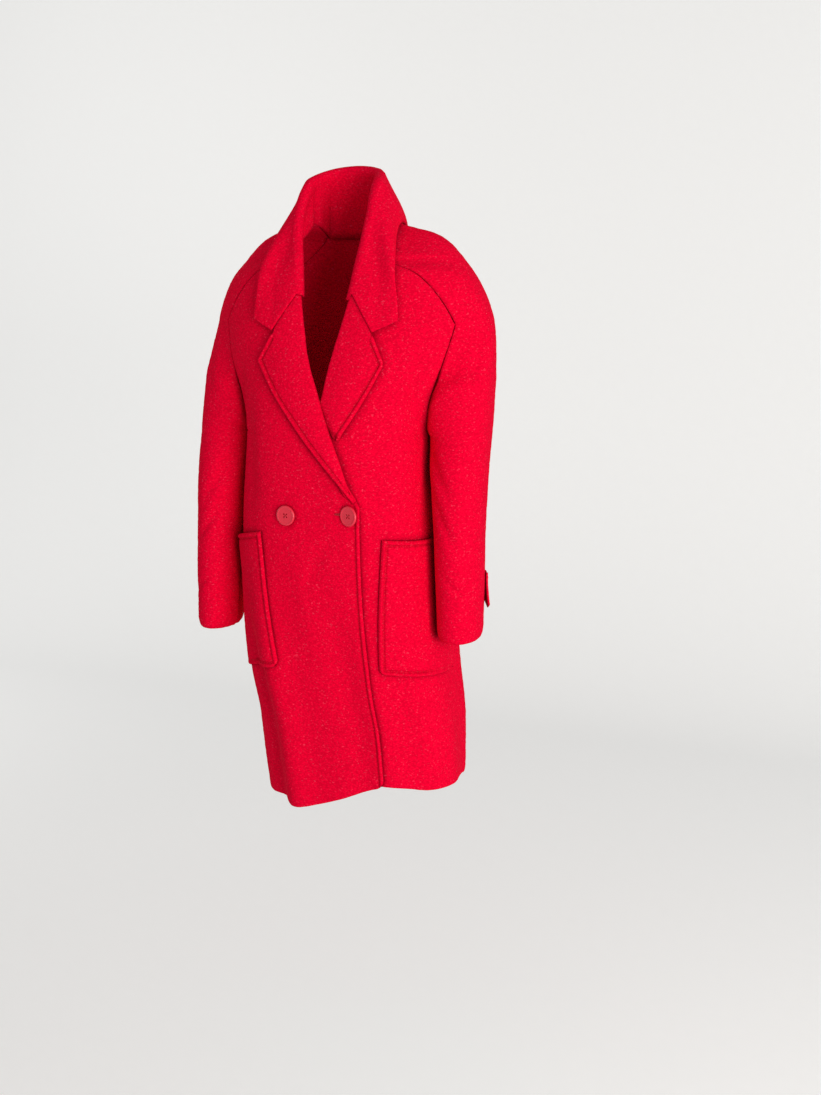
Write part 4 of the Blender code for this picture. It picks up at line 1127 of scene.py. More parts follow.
def lapel_frame(face):
    """Return the outward normals of a lapel's first column, and the way from there to its edge."""
    run = unit(np.gradient(face[:, 0], axis=0))
    away = face[:, 4] - face[:, 0]
    away = unit(away - run * np.sum(away * run, axis=1, keepdims=True))
    normals = unit(np.cross(run, away))
    outward = np.array([0.0, -1.0, 0.0])
    return normals * np.sign(normals @ outward)[:, None], away


def lapel_face(sign, across, along):
    """Return the points of a lapel's face as it lies on its front, and their places and heights."""
    place, height = lapel_place(sign, across, along)
    on_front = front_surface(sign, sign * place, height)
    normals = grid_normals(on_front, sign)
    emerge = smooth_step((along - LAPEL_START) / LAPEL_EMERGE)
    spring = LAPEL_SPRING * np.sin(math.pi * np.clip(across, 0.0, 1.0) * SPRING_SPAN) * emerge
    lift = TURNED_LIFT * (FOOT_LIFT + (1.0 - FOOT_LIFT) * emerge) + spring
    return on_front + normals * lift[..., None], place, height


def add_lapel(name, sign, cloth, trim, wool, thread):
    """Add one lapel, turned out along its soft roll and lying on its front."""
    across, along, edge, top = lapel_shares(sign, cloth.grid)
    flat, place, height = lapel_face(sign, across, along)
    covered = np.ones(len(flat))
    if sign > 0:
        own = -roll_line[sign](height[:, 0]) + ROLL_RADIUS
        covered = smooth_step((own - place[:, 0] + COVER_EASE) / COVER_EASE)
    wrap = lapel_wrap(flat, covered * smooth_step((along[:, 0] - LAPEL_START) / ROLL_EMERGE + ROLL_AT_FOOT))
    points = np.concatenate([wrap, flat], axis=1)
    extra = wrap.shape[1]
    free_top = smooth_step((across - NOTCH_SHARE) / NOTCH_EASE)
    on_flat = stitched_edge(np.minimum(edge, np.where(free_top > 0.5, top, 1.0)))
    on_flat = on_flat - GORGE_SINK * smooth_step((GORGE_OVERLAP - top) / SINK_EASE) * (1.0 - free_top)
    rise = np.concatenate([np.zeros((len(flat), extra)), on_flat], axis=1)
    drop = np.concatenate([np.zeros((len(flat), extra)), edge_drop(np.minimum(edge, top))], axis=1)
    options = {"thickness": TURNED, "stride": 2}
    piece, face, face_normals = add_cloth(name, points, sign, rise, drop, cloth, wool, (name,), **options)
    column = -1 - STITCH_COLUMN
    rows = (top[:, column] > STITCHED_EDGE[STITCH_COLUMN]) & (along[:, column] > LAPEL_STITCH_START)
    lines = [(face[rows, column], face_normals[rows, column])]
    row = -1 - STITCH_COLUMN
    columns = (across[row] > NOTCH_SHARE + NOTCH_CLEAR) & (edge[row] > STITCHED_EDGE[STITCH_COLUMN])
    lines.append((face[row, extra:][columns], face_normals[row, extra:][columns]))
    return piece, add_stitching(name, lines, trim, thread)


def collar_line(start, stations):
    """Return a collar line of the table, from the right front end round to the left one."""
    rows = np.array(COLLAR)[:, start : start + 3]
    whole = np.concatenate([(rows * np.array([-1.0, 1.0, 1.0]))[:0:-1], rows])
    place = np.arange(len(whole)) - COLLAR_ENDS
    points = np.stack([smooth_through(place, whole[:, k])(stations) for k in range(3)], axis=-1)
    neck_shift, end_shift = COLLAR_SHIFT
    share = smooth_step(np.abs(stations) / COLLAR_ENDS * 2.0 - 1.0)
    shift = neck_shift + (end_shift - neck_shift) * share
    points[..., 0] += shift * (SEAM_SHIFT_SHARE if start == 0 else 1.0)
    return points


def collar_stations(step):
    """Return the collar's rows as places in its table, closer together at its two ends."""
    ends = COLLAR_ENDS - STITCHED_EDGE / COLLAR_ROW
    count = int(COLLAR_LENGTH / step)
    middle = np.linspace(-ends[-1], ends[-1], count)[1:-1]
    return np.concatenate([-ends, middle, ends[::-1]])


def neck_edge(sign):
    """Return points along the body's neck edge on one side, from the centre back to the front."""
    across = np.linspace(0.0, back_half(np.array(BACK_NECK)), 20)
    back = back_surface(sign * across, np.full(20, BACK_NECK))
    rising = sleeve_surface(sign, np.ones(10), np.linspace(BACK_NECK, SHOULDER_TOP, 10))
    over = sleeve_surface(sign, np.linspace(1.0, 0.0, 12), np.full(12, SHOULDER_TOP))
    falling = sleeve_surface(sign, np.zeros(20), np.linspace(SHOULDER_TOP, FRONT_NECK, 20))
    return np.concatenate([back, rising[1:], over[1:], falling[1:]])


def round_the_neck(points):
    """Return the angle of points round the neck, from the centre back and positive to the left."""
    return np.arctan2(points[:, 0], points[:, 1] - NECK_MIDDLE)


def sewn_to_neck(line, stations):
    """Return the collar's neck line moved onto the neck edge of the body, except at the fronts."""
    edge = np.concatenate([neck_edge(-1.0)[:0:-1], neck_edge(1.0)])
    at = round_the_neck(edge)
    sewn = np.stack([np.interp(round_the_neck(line), at, edge[:, k]) for k in range(3)], axis=1)
    inward = unit((np.array([0.0, NECK_MIDDLE, 0.0]) - sewn) * np.array([1.0, 1.0, 0.0]))
    sewn = sewn + inward * CLOTH / 2.0 - np.array([0.0, 0.0, CLOTH])
    start, end = NECK_SEWN
    weight = 1.0 - smooth_step((np.abs(stations) - start) / (end - start))
    return line + (sewn - line) * weight[:, None]


def shoulder_samples():
    """Return points and outward normals of the body round the neck, where the collar rests."""
    heights = np.arange(SHOULDER_FOOT, SHOULDER_TOP, SHOULDER_STEP)[:, None]
    share = np.linspace(0.0, 1.0, SHOULDER_COLUMNS)[None, :]
    grids = []
    for sign in (-1.0, 1.0):
        sleeve = sleeve_surface(sign, share + 0.0 * heights, heights + 0.0 * share)
        low = heights[heights[:, 0] < FRONT_NECK]
        place = front_bound(sign, low) + (front_side(low) - front_bound(sign, low)) * share
        front = front_surface(sign, sign * place, low + 0.0 * place)
        grids += [(sleeve, grid_normals(sleeve, sign)), (front, grid_normals(front, sign))]
    low = heights[heights[:, 0] < BACK_NECK]
    back = back_surface(back_half(low) * (2.0 * share - 1.0), low + 0.0 * share)
    grids.append((back, grid_normals(back, -1.0)))
    points = np.concatenate([grid.reshape(-1, 3) for grid, _ in grids])
    normals = np.concatenate([normal.reshape(-1, 3) for _, normal in grids])
    return points, normals


def rested_edge(line, stations):
    """Return the collar's outer edge laid onto the shoulders and the back, except at the fronts."""
    points, normals = shoulder_samples()
    tree = KDTree(len(points))
    for k, point in enumerate(points):
        tree.insert(point, k)
    tree.balance()
    nearest = np.array([tree.find(point)[1] for point in line])
    shift = points[nearest] + normals[nearest] * COLLAR_REST - line
    first, last = (shift[k : k + 1].repeat(EVEN_ROWS, axis=0) for k in (0, len(shift) - 1))
    padded = np.concatenate([first, shift, last])
    window = np.full(2 * EVEN_ROWS + 1, 1.0 / (2 * EVEN_ROWS + 1))
    even = np.stack([np.convolve(padded[:, k], window, "valid") for k in range(3)], axis=1)
    start, end = EDGE_RESTS
    weight = 1.0 - smooth_step((np.abs(stations) - start) / (end - start))
    return line + even * weight[:, None]


def collar_sections(stations, fall_shares):
    """Return the collar's points: up its stand, over its roll and down its fall."""
    neck = sewn_to_neck(collar_line(0, stations), stations)
    top = collar_line(3, stations)
    edge = rested_edge(collar_line(6, stations), stations)
    run = unit(np.gradient(top, axis=0))

    def square(vectors):
        return unit(vectors - run * np.sum(vectors * run, axis=1, keepdims=True))

    fall_way = square(edge - top)
    stand_way = square(neck - top)
    crest = -unit(fall_way + stand_way)
    out = square(fall_way - stand_way)
    out = unit(out - crest * np.sum(out * crest, axis=1, keepdims=True))
    middle = top - crest * COLLAR_ROLL_RADIUS
    stand_top = middle - out * COLLAR_ROLL_RADIUS
    fall_top = middle + out * COLLAR_ROLL_RADIUS
    shares = np.linspace(0.0, 1.0, STAND_ROWS)[:-1]
    length = np.linalg.norm(stand_top - neck, axis=1, keepdims=True)
    stand = []
    for t in shares:
        pulls = ((stand_top - neck) * COLLAR_PULL, -crest * length * COLLAR_PULL)
        stand.append(bezier(neck, *pulls, stand_top, np.full(len(neck), t)))
    arc = []
    for angle in COLLAR_ARC:
        arc.append(middle + (crest * math.sin(angle) - out * math.cos(angle)) * COLLAR_ROLL_RADIUS)
    length = np.linalg.norm(edge - fall_top, axis=1, keepdims=True)
    bow = out * COLLAR_FULLNESS
    fall = []
    for column in range(fall_shares.shape[1]):
        t = fall_shares[:, column]
        pulls = (-crest * length * COLLAR_PULL, (fall_top - edge) * COLLAR_PULL + bow)
        fall.append(bezier(fall_top, *pulls, edge, t))
    return np.stack(stand + arc + fall, axis=1), len(stand) + len(arc)


def lapel_top_fold(sign, step, count):
    """Return points at a lapel's top: some from behind its front to the roll, then round the roll."""
    across, along = lapel_shares(sign, step)[:2]
    face = lapel_face(sign, across, along)[0]
    normals, away = lapel_frame(face)
    row = -1 - int(np.sum(STITCHED_EDGE < GORGE_TUCK))
    radius = ROLL_RADIUS + SEAM_GAP
    middle = face[row, 0] - normals[row] * ROLL_RADIUS
    spokes = [-away[row] * math.sin(angle) - normals[row] * math.cos(angle) for angle in COLLAR_ARC]
    turned_in = np.linspace(ROLL_TURN_IN, 0.0, count + 1)[:-1, None] * away[row]
    return np.concatenate([middle - normals[row] * radius + turned_in, middle + np.array(spokes) * radius])


def settled_end(points, first, stations, fall_shares, step):
    """Return the collar's points with both front ends settled onto the fronts beside the lapels."""
    moved = points.copy()
    for sign in (-1.0, 1.0):
        end = -1 if sign > 0 else 0
        share = fall_shares[end]
        path = bent_line(GORGE, NOTCH, COLLAR_CORNER, COLLAR_NOTCH_SHARE, share)
        place = path[:, 0]
        height = path[:, 1] - GORGE_DROP * (share < COLLAR_NOTCH_SHARE)
        on_front = front_surface(sign, sign * place, height)
        beside = front_surface(sign, sign * place, height + 2.0 * PROBE)
        across = np.gradient(on_front, axis=0) * sign
        normal = unit(np.cross(across, beside - on_front))
        spring = LAPEL_SPRING * np.sin(math.pi / 2.0 * np.clip(share / COLLAR_NOTCH_SHARE, 0.0, 1.25))
        target = on_front + normal * (TURNED_LIFT + spring)[:, None]
        shift = target - points[end, first:]
        away = COLLAR_ENDS - sign * stations
        weight = (1.0 - smooth_step(away / COLLAR_SETTLE))[:, None, None]
        moved[:, first:] += shift[None] * weight
        stand = first - len(COLLAR_ARC)
        shift = lapel_top_fold(sign, step, stand) - points[end, :first]
        moved[:, stand:first] += shift[None, stand:] * weight
        quick = (1.0 - smooth_step(away / STAND_SETTLE))[:, None, None]
        up = np.linspace(0.0, 1.0, stand)[None, :, None]
        moved[:, :stand] += shift[None, :stand] * (quick + (weight - quick) * up)
    return moved


def add_collar(cloth, trim, wool, thread):
    """Add the collar: its stand, its soft roll and its fall are one folded cloth."""
    step = cloth.grid
    stations = collar_stations(step)
    fall_length = np.linalg.norm(collar_line(6, stations) - collar_line(3, stations), axis=1)[:, None]
    near = STITCHED_EDGE[None, ::-1] / fall_length
    count = int(COLLAR_FALL / step)
    inner_shares = np.linspace(0.0, 1.0, count)[None, :-1] * (1.0 - near[:, :1])
    fall_shares = np.concatenate([inner_shares, 1.0 - near], axis=1)
    plain, first = collar_sections(stations, fall_shares)
    points = settled_end(plain, first, stations, fall_shares, step)
    edge = (1.0 - fall_shares) * fall_length
    end_away = ((COLLAR_ENDS - np.abs(stations)) * COLLAR_ROW)[:, None] + np.zeros_like(fall_shares)
    free_end = smooth_step((fall_shares - COLLAR_NOTCH_SHARE) / NOTCH_EASE)
    on_fall = stitched_edge(np.minimum(edge, np.where(free_end > 0.5, end_away, 1.0)))
    on_fall = on_fall - GORGE_DIP * (1.0 - smooth_step(end_away / GORGE_BLEND)) * (1.0 - free_end)
    rise = np.concatenate([np.zeros((len(stations), first)), on_fall], axis=1)
    drop = np.concatenate([np.zeros((len(stations), first)), edge_drop(np.minimum(edge, end_away))], axis=1)
    replaced = ("collar_fall", "collar_stand")
    options = {"thickness": TURNED, "stride": 2}
    piece, face, normals = add_cloth("collar", points, 1.0, rise, drop, cloth, wool, replaced, **options)
    column = -1 - STITCH_COLUMN
    rows = end_away[:, column] > STITCHED_EDGE[STITCH_COLUMN] * 1.2
    lines = [(face[rows, column], normals[rows, column])]
    for row in (STITCH_COLUMN, -1 - STITCH_COLUMN):
        past_notch = fall_shares[row] > COLLAR_NOTCH_SHARE + COLLAR_NOTCH_CLEAR
        columns = past_notch & (edge[row] > STITCHED_EDGE[STITCH_COLUMN])
        lines.append((face[row, first:][columns], normals[row, first:][columns]))
    return piece, add_stitching("collar", lines, trim, thread)


def patch_grid(width, length, near, step):
    """Return how far a patch's points lie from its first side and its top, closer near its edges."""
    start = np.zeros((1, 1))
    across, down = (between_edges(start, start + size, near, near, step)[0] for size in (width, length))
    return np.meshgrid(across, down[::-1])


def patch_lines(face, normals):
    """Return the lines of topstitching down a patch's two sides and along its foot."""
    k = STITCH_COLUMN
    runs = ((slice(k, None), k), (slice(k, None), -1 - k), (k, slice(k, -k)))
    return [(face[run], normals[run]) for run in runs]


def add_pocket(name, sign, cloth, trim, wool, thread):
    """Add one patch pocket, sewn on along its sides and foot and a little open at its top."""
    depth = POCKET_TOP - POCKET_FOOT
    inset, down = patch_grid(POCKET_WIDTH, depth, STITCHED_EDGE, cloth.grid)
    front, foot = round_corner(inset, depth - down, POCKET_CORNER)
    back, foot_back = round_corner(POCKET_WIDTH - inset, depth - down, POCKET_CORNER)
    middle = inset < POCKET_WIDTH / 2.0
    across = np.where(middle, front, POCKET_WIDTH - back)
    lower = depth - np.where(middle, foot, foot_back)
    top_inset, foot_inset = POCKET_INSET[sign]
    place = top_inset + (foot_inset - top_inset) * lower / depth + across
    height = POCKET_TOP + POCKET_RISE[sign] - lower + POCKET_TILT[sign] * (across - POCKET_WIDTH / 2.0)
    on_front = front_surface(sign, sign * place, height)
    normals = grid_normals(on_front, sign)
    mouth = np.exp(-((down / POCKET_MOUTH_DEPTH) ** 2)) * np.sin(math.pi * inset / POCKET_WIDTH)
    lift = PATCH_LIFT + POCKET_MOUTH * mouth
    points = on_front + normals * lift[..., None]
    sewn = np.minimum(np.minimum(inset, POCKET_WIDTH - inset), depth - down)
    away = np.minimum(sewn, down)
    drop = edge_drop(away)
    wrap_start, wrap_end = POCKET_WRAP
    flatter = POCKET_FLATNESS * smooth_step((inset - wrap_start) / (wrap_end - wrap_start))
    rise = (stitched_edge(away) + drop) * (1.0 - flatter) - drop
    options = {"thickness": PATCH, "stride": 2}
    piece, face, face_normals = add_cloth(name, points, sign, rise, drop, cloth, wool, (name,), **options)
    top = (-1 - STITCH_COLUMN, slice(STITCH_COLUMN, -STITCH_COLUMN))
    lines = patch_lines(face, face_normals) + [(face[top], face_normals[top])]
    return piece, add_stitching(name, lines, trim, thread)


def add_cuff_tab(name, sign, top, cloth, trim, wool, thread):
    """Add one cuff tab, with its free pointed foot standing off the sleeve."""
    across, low = patch_grid(TAB_WIDTH, TAB_LENGTH, STITCHED_EDGE[:9] * TAB_EDGE, cloth.grid)
    along = across - TAB_WIDTH / 2.0
    share = low / TAB_LENGTH
    point = TAB_POINT * (1.0 - np.abs(along) / (TAB_WIDTH / 2.0)) * share
    height = top - (TAB_LENGTH - TAB_POINT) * share - point
    around = TAB_PLACE + along / CUFF_GIRTH
    lift = LAYER_GAP + CLOTH + TAB_STAND_OFF * share ** 2
    points = sleeve_surface(sign, around, height, lift)
    away = np.minimum(np.minimum(along + TAB_WIDTH / 2.0, TAB_WIDTH / 2.0 - along), TAB_LENGTH - low)
    rise = stitched_edge(away / TAB_EDGE) * TAB_PUFF
    drop = edge_drop(away)
    options = {"thickness": TAB_CLOTH, "stride": 2}
    piece, face, normals = add_cloth(name, points, sign, rise, drop, cloth, wool, (name,), **options)
    return piece, add_stitching(name, patch_lines(face, normals), trim, thread)


# Half section of a button as shares of its radius and its height, from the middle of its back
BUTTON_PROFILE = (
    (0.00, 0.02),
    (0.40, 0.00),
    (0.74, 0.02),
    (0.90, 0.12),
    (0.97, 0.30),
    (1.00, 0.52),
    (0.985, 0.74),
    (0.95, 0.90),
    (0.90, 0.975),
    (0.86, 1.00),
    (0.82, 0.985),
    (0.79, 0.93),
    (0.765, 0.885),
    (0.72, 0.87),
    (0.60, 0.86),
    (0.40, 0.845),
    (0.20, 0.83),
    (0.00, 0.825),
)
BUTTON_SIDES = 72
DRILL_SIDES = 20
SHARP_EDGE = 42.0  # degrees from which an edge of a button is sharp
HOLE_SPREAD = 0.150  # from the button's middle to each hole, as a share of the radius
# Thread over a button: radius of a strand, how far two strands of one slant lie apart, how far the
# second slant lies over the first, the strands' arch, and how far they sink into the holes
BUTTON_THREAD = 0.00020
STRAND_SHIFT = 0.0014
STRAND_OVER = 0.0003
STRAND_ARCH = 0.0002
STRAND_SINK = 0.0026
HOLE_EDGE = 0.74  # share of a strand's half length at which it goes down into its hole
BUTTON_DISH = 0.80  # height of the face under the strands, as a share of the button's height
BUTTON_PROBE = 0.01  # step for reading the slope of the front under a button
# Buttonhole: half its length, half its width, the radius of its corded edge, how far that edge lies
# out of the cloth's face, and how far the hole lies above the button's middle
HOLE_HALF_LENGTH = 0.014
HOLE_HALF_WIDTH = 0.0011
HOLE_CORD = 0.0009
HOLE_LIFT = 0.0004
HOLE_RISE = 0.001
HOLE_POINTS = 61
SLIT_POWERS = (0.35, 0.7)  # squareness of the slit along its length and across it
OFF_AXIS = np.array([0.31, 0.17, 0.93])  # a direction that no thread runs along


def button_frame(distance, rise, lean):
    """Return the seat of a button on the over-front, and its side, up and outward directions."""
    at = np.array([distance])
    height = np.array([BUTTON_LINE + rise])
    seat = front_surface(-1.0, at, height)[0]
    step = BUTTON_PROBE
    side = unit(front_surface(-1.0, at + step, height)[0] - front_surface(-1.0, at - step, height)[0])
    up = unit(front_surface(-1.0, at, height + step)[0] - front_surface(-1.0, at, height - step)[0])
    axis = unit(np.cross(side, up))
    up = np.cross(axis, side)
    turn = math.radians(lean)
    leaning = axis * math.cos(turn) - side * math.sin(turn)
    return seat, np.cross(up, leaning), up, leaning


def turned_solid(profile, sides):
    """Return the points and faces of a turned solid with a point at each end of its profile."""
    points = [np.array([[0.0, 0.0, profile[0][1]]])]
    for radius, rise in profile[1:-1]:
        points.append(np.insert(circle(sides) * radius, 2, rise, axis=1))
    points.append(np.array([[0.0, 0.0, profile[-1][1]]]))
    rings = len(profile) - 2
    last = 1 + rings * sides
    faces = []
    for k in range(sides):
        after = (k + 1) % sides
        faces.append((0, 1 + after, 1 + k))
        for ring in range(rings - 1):
            low = 1 + ring * sides
            faces.append((low + k, low + after, low + sides + after, low + sides + k))
        faces.append((last - sides + k, last - sides + after, last))
    return np.concatenate(points), faces


def plain_object(name, vertices, faces):
    """Return a helper object with the given points and faces."""
    return linked(name, new_mesh(name, vertices, faces))


def drilled_button(trim):
    """Return the mesh of a rimmed button with four holes, lying in its own frame."""
    profile = [(r * trim.button_radius, h * trim.button_height) for r, h in BUTTON_PROFILE]
    body = plain_object("button_blank", *turned_solid(profile, BUTTON_SIDES))
    spread = HOLE_SPREAD * trim.button_radius
    drills = []
    reach = trim.button_height
    rod = ((0.0, -reach), (trim.hole_radius, -reach), (trim.hole_radius, 2.0 * reach), (0.0, 2.0 * reach))
    for across in (-1.0, 1.0):
        for along in (-1.0, 1.0):
            points, faces = turned_solid(rod, DRILL_SIDES)
            middle = np.array([across * spread, along * spread, 0.0])
            drills.append(plain_object("drill", points + middle, faces))
    for drill in drills:
        cut = body.modifiers.new("hole", "BOOLEAN")
        cut.operation = "DIFFERENCE"
        cut.solver = "EXACT"
        cut.object = drill
    depsgraph = bpy.context.evaluated_depsgraph_get()
    mesh = bpy.data.meshes.new_from_object(body.evaluated_get(depsgraph))
    for item in [body] + drills:
        bpy.data.objects.remove(item, do_unlink=True)
    return mesh


def tube_along(line, radius, sides=8):
    """Return the points and faces of a round thread along a line of points."""
    line = np.asarray(line, float)
    run = unit(np.gradient(line, axis=0))
    first = unit(np.cross(run, OFF_AXIS))
    second = np.cross(run, first)
    rings = line[:, None] + radius * (circle(sides) @ np.stack([first, second], axis=1))
    return rings.reshape(-1, 3), tube_faces(len(line), sides)


def button_thread(trim):
    """Return crossed sewing thread over a button's face, in the button's own frame."""
    spread = HOLE_SPREAD * trim.button_radius
    dish = trim.button_height * BUTTON_DISH
    parts = []
    for slant in (-1.0, 1.0):
        for strand in (-0.25, 0.25):
            t = np.linspace(-1.0, 1.0, 15)
            into_hole = np.clip(np.abs(t) - HOLE_EDGE, 0.0, 1.0) / (1.0 - HOLE_EDGE)
            arch = dish + STRAND_ARCH * (1.0 - t ** 4) - STRAND_SINK * into_hole
            shift = strand * STRAND_SHIFT
            over = STRAND_OVER * (slant > 0)
            line = np.stack([t * spread + shift * slant, slant * t * spread - shift, arch + over], axis=1)
            parts.append(tube_along(line, BUTTON_THREAD))
    return joined(parts)


def add_button(name, place, trim, plastic, thread):
    """Add one drilled button and the thread that holds it."""
    seat, side, up, axis = button_frame(*place[:3])
    seat = seat + axis * place[3]
    turn = np.stack([side, up, axis])
    mesh = drilled_button(trim)
    mesh.name = name
    for vertex in mesh.vertices:
        vertex.co = Vector(seat + np.array(vertex.co) @ turn)
    dressed(name + "_drilled", mesh, plastic, (name,))
    mesh.set_sharp_from_angle(angle=math.radians(SHARP_EDGE))
    points, faces = button_thread(trim)
    add_piece("thread_" + name, seat + points @ turn, faces, thread, "boucle_wool")


def slit_outline(half_length, half_width, count):
    """Return a closed outline of a buttonhole, as (along, across)."""
    angles = np.linspace(0.0, 2.0 * math.pi, count)
    end, side = SLIT_POWERS
    along = np.sign(np.cos(angles)) * np.abs(np.cos(angles)) ** end * half_length
    across = np.sign(np.sin(angles)) * np.abs(np.sin(angles)) ** side * half_width
    return np.stack([along, across], axis=1)


def add_buttonhole(name, distance, rise, thread):
    """Add the corded edge of the buttonhole that the button comes through."""
    outline = slit_outline(HOLE_HALF_LENGTH, HOLE_HALF_WIDTH, HOLE_POINTS)
    place = distance - HOLE_HALF_LENGTH + outline[:, 0]
    height = BUTTON_LINE + rise + HOLE_RISE + outline[:, 1]
    points = front_surface(-1.0, place, height)
    out = button_frame(distance, rise, 0.0)[3]
    add_piece(name, *tube_along(points + out * HOLE_LIFT, HOLE_CORD), thread, "boucle_wool")


def add_node(tree, kind, settings=None, links=None):
    """Add a node with its settings and links; a key names a socket, by name or number, or a property."""
    node = tree.nodes.new(kind)
    for key, value in (settings or {}).items():
        if isinstance(key, int) or key in node.inputs:
            node.inputs[key].default_value = value
        else:
            setattr(node, key, value)
    for key, source in (links or {}).items():
        tree.links.new(source, node.inputs[key])
    return node


def new_material(name, finish):
    """Return a new node material with the plain values of its shader, its tree and its shader."""
    material = bpy.data.materials.new(name)
    material.use_nodes = True
    shader = material.node_tree.nodes["Principled BSDF"]
    for key, value in finish.items():
        shader.inputs[key].default_value = value
    return material, material.node_tree, shader


def ranged(tree, value, start, end, low, high):
    """Return a value that goes from low to high as the given one goes from start to end."""
    limits = {"From Min": start, "From Max": end, "To Min": low, "To Max": high}
    return add_node(tree, "ShaderNodeMapRange", limits, {"Value": value}).outputs["Result"]


def blend(tree, share, first, second):
    """Return a colour between two, nearer to the second one as the share grows."""
    colours = {"data_type": "RGBA", 6: first, 7: second}
    return add_node(tree, "ShaderNodeMix", colours, {0: share}).outputs[2]


def wool_boucle(cloth):
    """Wool boucle, woven from a looped yarn and left unshorn.

    To the eye: a matt, deep red of small uneven loops that run across the cloth, with painted shade
    between the loops and in the crevices where two layers meet, with paler fibres that catch the light
    and a soft bloom where the nap is grazed. The loops are about 4 mm across, as on the cloth.
    """
    nap = {"Sheen Weight": 0.12, "Sheen Roughness": 0.45, "Sheen Tint": tuple(cloth.sheen)}
    matt = {"Roughness": 0.95, "Specular IOR Level": 0.02}
    material, tree, shader = new_material("wool_boucle", matt | nap)
    place = add_node(tree, "ShaderNodeTexCoord").outputs["Object"]
    squeeze = {"Scale": (1.0, 1.0, 1.45)}
    across = add_node(tree, "ShaderNodeMapping", squeeze, {"Vector": place}).outputs["Vector"]
    coarse = {"Scale": 1.0 / (cloth.loop * 2.2), "Detail": 2.0}
    drift = add_node(tree, "ShaderNodeTexNoise", coarse, {"Vector": across})
    less_half = {"operation": "SUBTRACT", 1: (0.5, 0.5, 0.5)}
    centred = add_node(tree, "ShaderNodeVectorMath", less_half, {0: drift.outputs["Color"]})
    pushed = add_node(
        tree,
        "ShaderNodeVectorMath",
        {"operation": "MULTIPLY_ADD", 1: (cloth.loop * 1.4,) * 3},
        {0: centred.outputs[0], 2: across},
    ).outputs[0]
    loops = add_node(
        tree,
        "ShaderNodeTexVoronoi",
        {"feature": "SMOOTH_F1", "Scale": 1.0 / cloth.loop, "Smoothness": 0.35, "Randomness": 1.0},
        {"Vector": pushed},
    )
    fine = {"Scale": 1.0 / cloth.fibre, "Detail": 3.0, "Roughness": 0.6}
    tufts = add_node(tree, "ShaderNodeTexNoise", fine, {"Vector": across})
    mound = ranged(tree, loops.outputs["Distance"], 0.05, 0.75, 1.0, 0.0)
    with_tufts = {"operation": "MULTIPLY_ADD", 1: 0.55}
    relief = add_node(tree, "ShaderNodeMath", with_tufts, {0: tufts.outputs["Fac"], 2: mound}).outputs[0]
    body = ranged(tree, relief, 0.35, 1.05, 0.0, 1.0)
    # Painted shade: where the loops' relief is low, in the hollows between them, the colour goes to the shade
    # tone
    ground = blend(tree, body, tuple(cloth.shade), tuple(cloth.red))
    sparse = {"Scale": 1.0 / (cloth.fibre * 1.6), "Detail": 2.0, "Roughness": 0.5}
    specks = add_node(tree, "ShaderNodeTexNoise", sparse, {"Vector": pushed})
    fleck = ranged(tree, specks.outputs["Fac"], 0.62, 0.72, 0.0, 0.34)
    paler = {"data_type": "RGBA", 7: tuple(cloth.fleck)}
    colour = add_node(tree, "ShaderNodeMix", paler, {0: fleck, 6: ground}).outputs[2]
    # Painted shade: the colour is darkened where ambient occlusion finds cloth close by, in the crevices
    # where two layers meet
    crevice = add_node(tree, "ShaderNodeAmbientOcclusion", {"samples": 6, "Distance": PAINTED_SHADE_REACH})
    painted_shade = ranged(tree, crevice.outputs["AO"], 0.5, 0.97, 0.55, 1.0)
    darker = {"data_type": "RGBA", "blend_type": "MULTIPLY", 0: 1.0}
    colour = add_node(tree, "ShaderNodeMix", darker, {6: colour, 7: painted_shade}).outputs[2]
    bump = add_node(tree, "ShaderNodeBump", {"Strength": 0.32, "Distance": cloth.relief}, {"Height": relief})
    tree.links.new(colour, shader.inputs["Base Color"])
    tree.links.new(bump.outputs["Normal"], shader.inputs["Normal"])
    return material


def spun_thread(trim):
    """Polyester sewing thread, spun and dyed to the cloth.

    To the eye: a fine twisted red line, a little glossier than the wool that it sinks into.
    The twist is drawn at 1.2 mm, coarser than the real one, so that it shows, with painted shade between its
    strands.
    """
    material, tree, shader = new_material("spun_polyester_thread", {"Roughness": 0.6})
    place = add_node(tree, "ShaderNodeTexCoord").outputs["Object"]
    twist = add_node(tree, "ShaderNodeTexNoise", {"Scale": 1.0 / 0.0012, "Detail": 2.0}, {"Vector": place})
    # Painted shade: the noise takes parts of the thread to the deep tone, which stands for the shade between
    # its strands
    tone = blend(tree, twist.outputs["Fac"], linear(THREAD_STRAND_SHADE), tuple(trim.thread))
    tree.links.new(tone, shader.inputs["Base Color"])
    return material


def moulded_polyester(trim):
    """Cast polyester, turned and tumbled to a satin polish, as coat buttons are.

    To the eye: a satin red with faint clouding in its colour and a slightly uneven polish.
    """
    material, tree, shader = new_material("cast_polyester", {"IOR": 1.55})
    place = add_node(tree, "ShaderNodeTexCoord").outputs["Object"]
    cloud = add_node(tree, "ShaderNodeTexNoise", {"Scale": 1.0 / 0.006, "Detail": 3.0}, {"Vector": place})
    tone = blend(tree, cloud.outputs["Fac"], linear(DEEP_BUTTON), tuple(trim.button))
    polish = ranged(tree, cloud.outputs["Fac"], 0.0, 1.0, 0.30, 0.42)
    tree.links.new(tone, shader.inputs["Base Color"])
    tree.links.new(polish, shader.inputs["Roughness"])
    return material


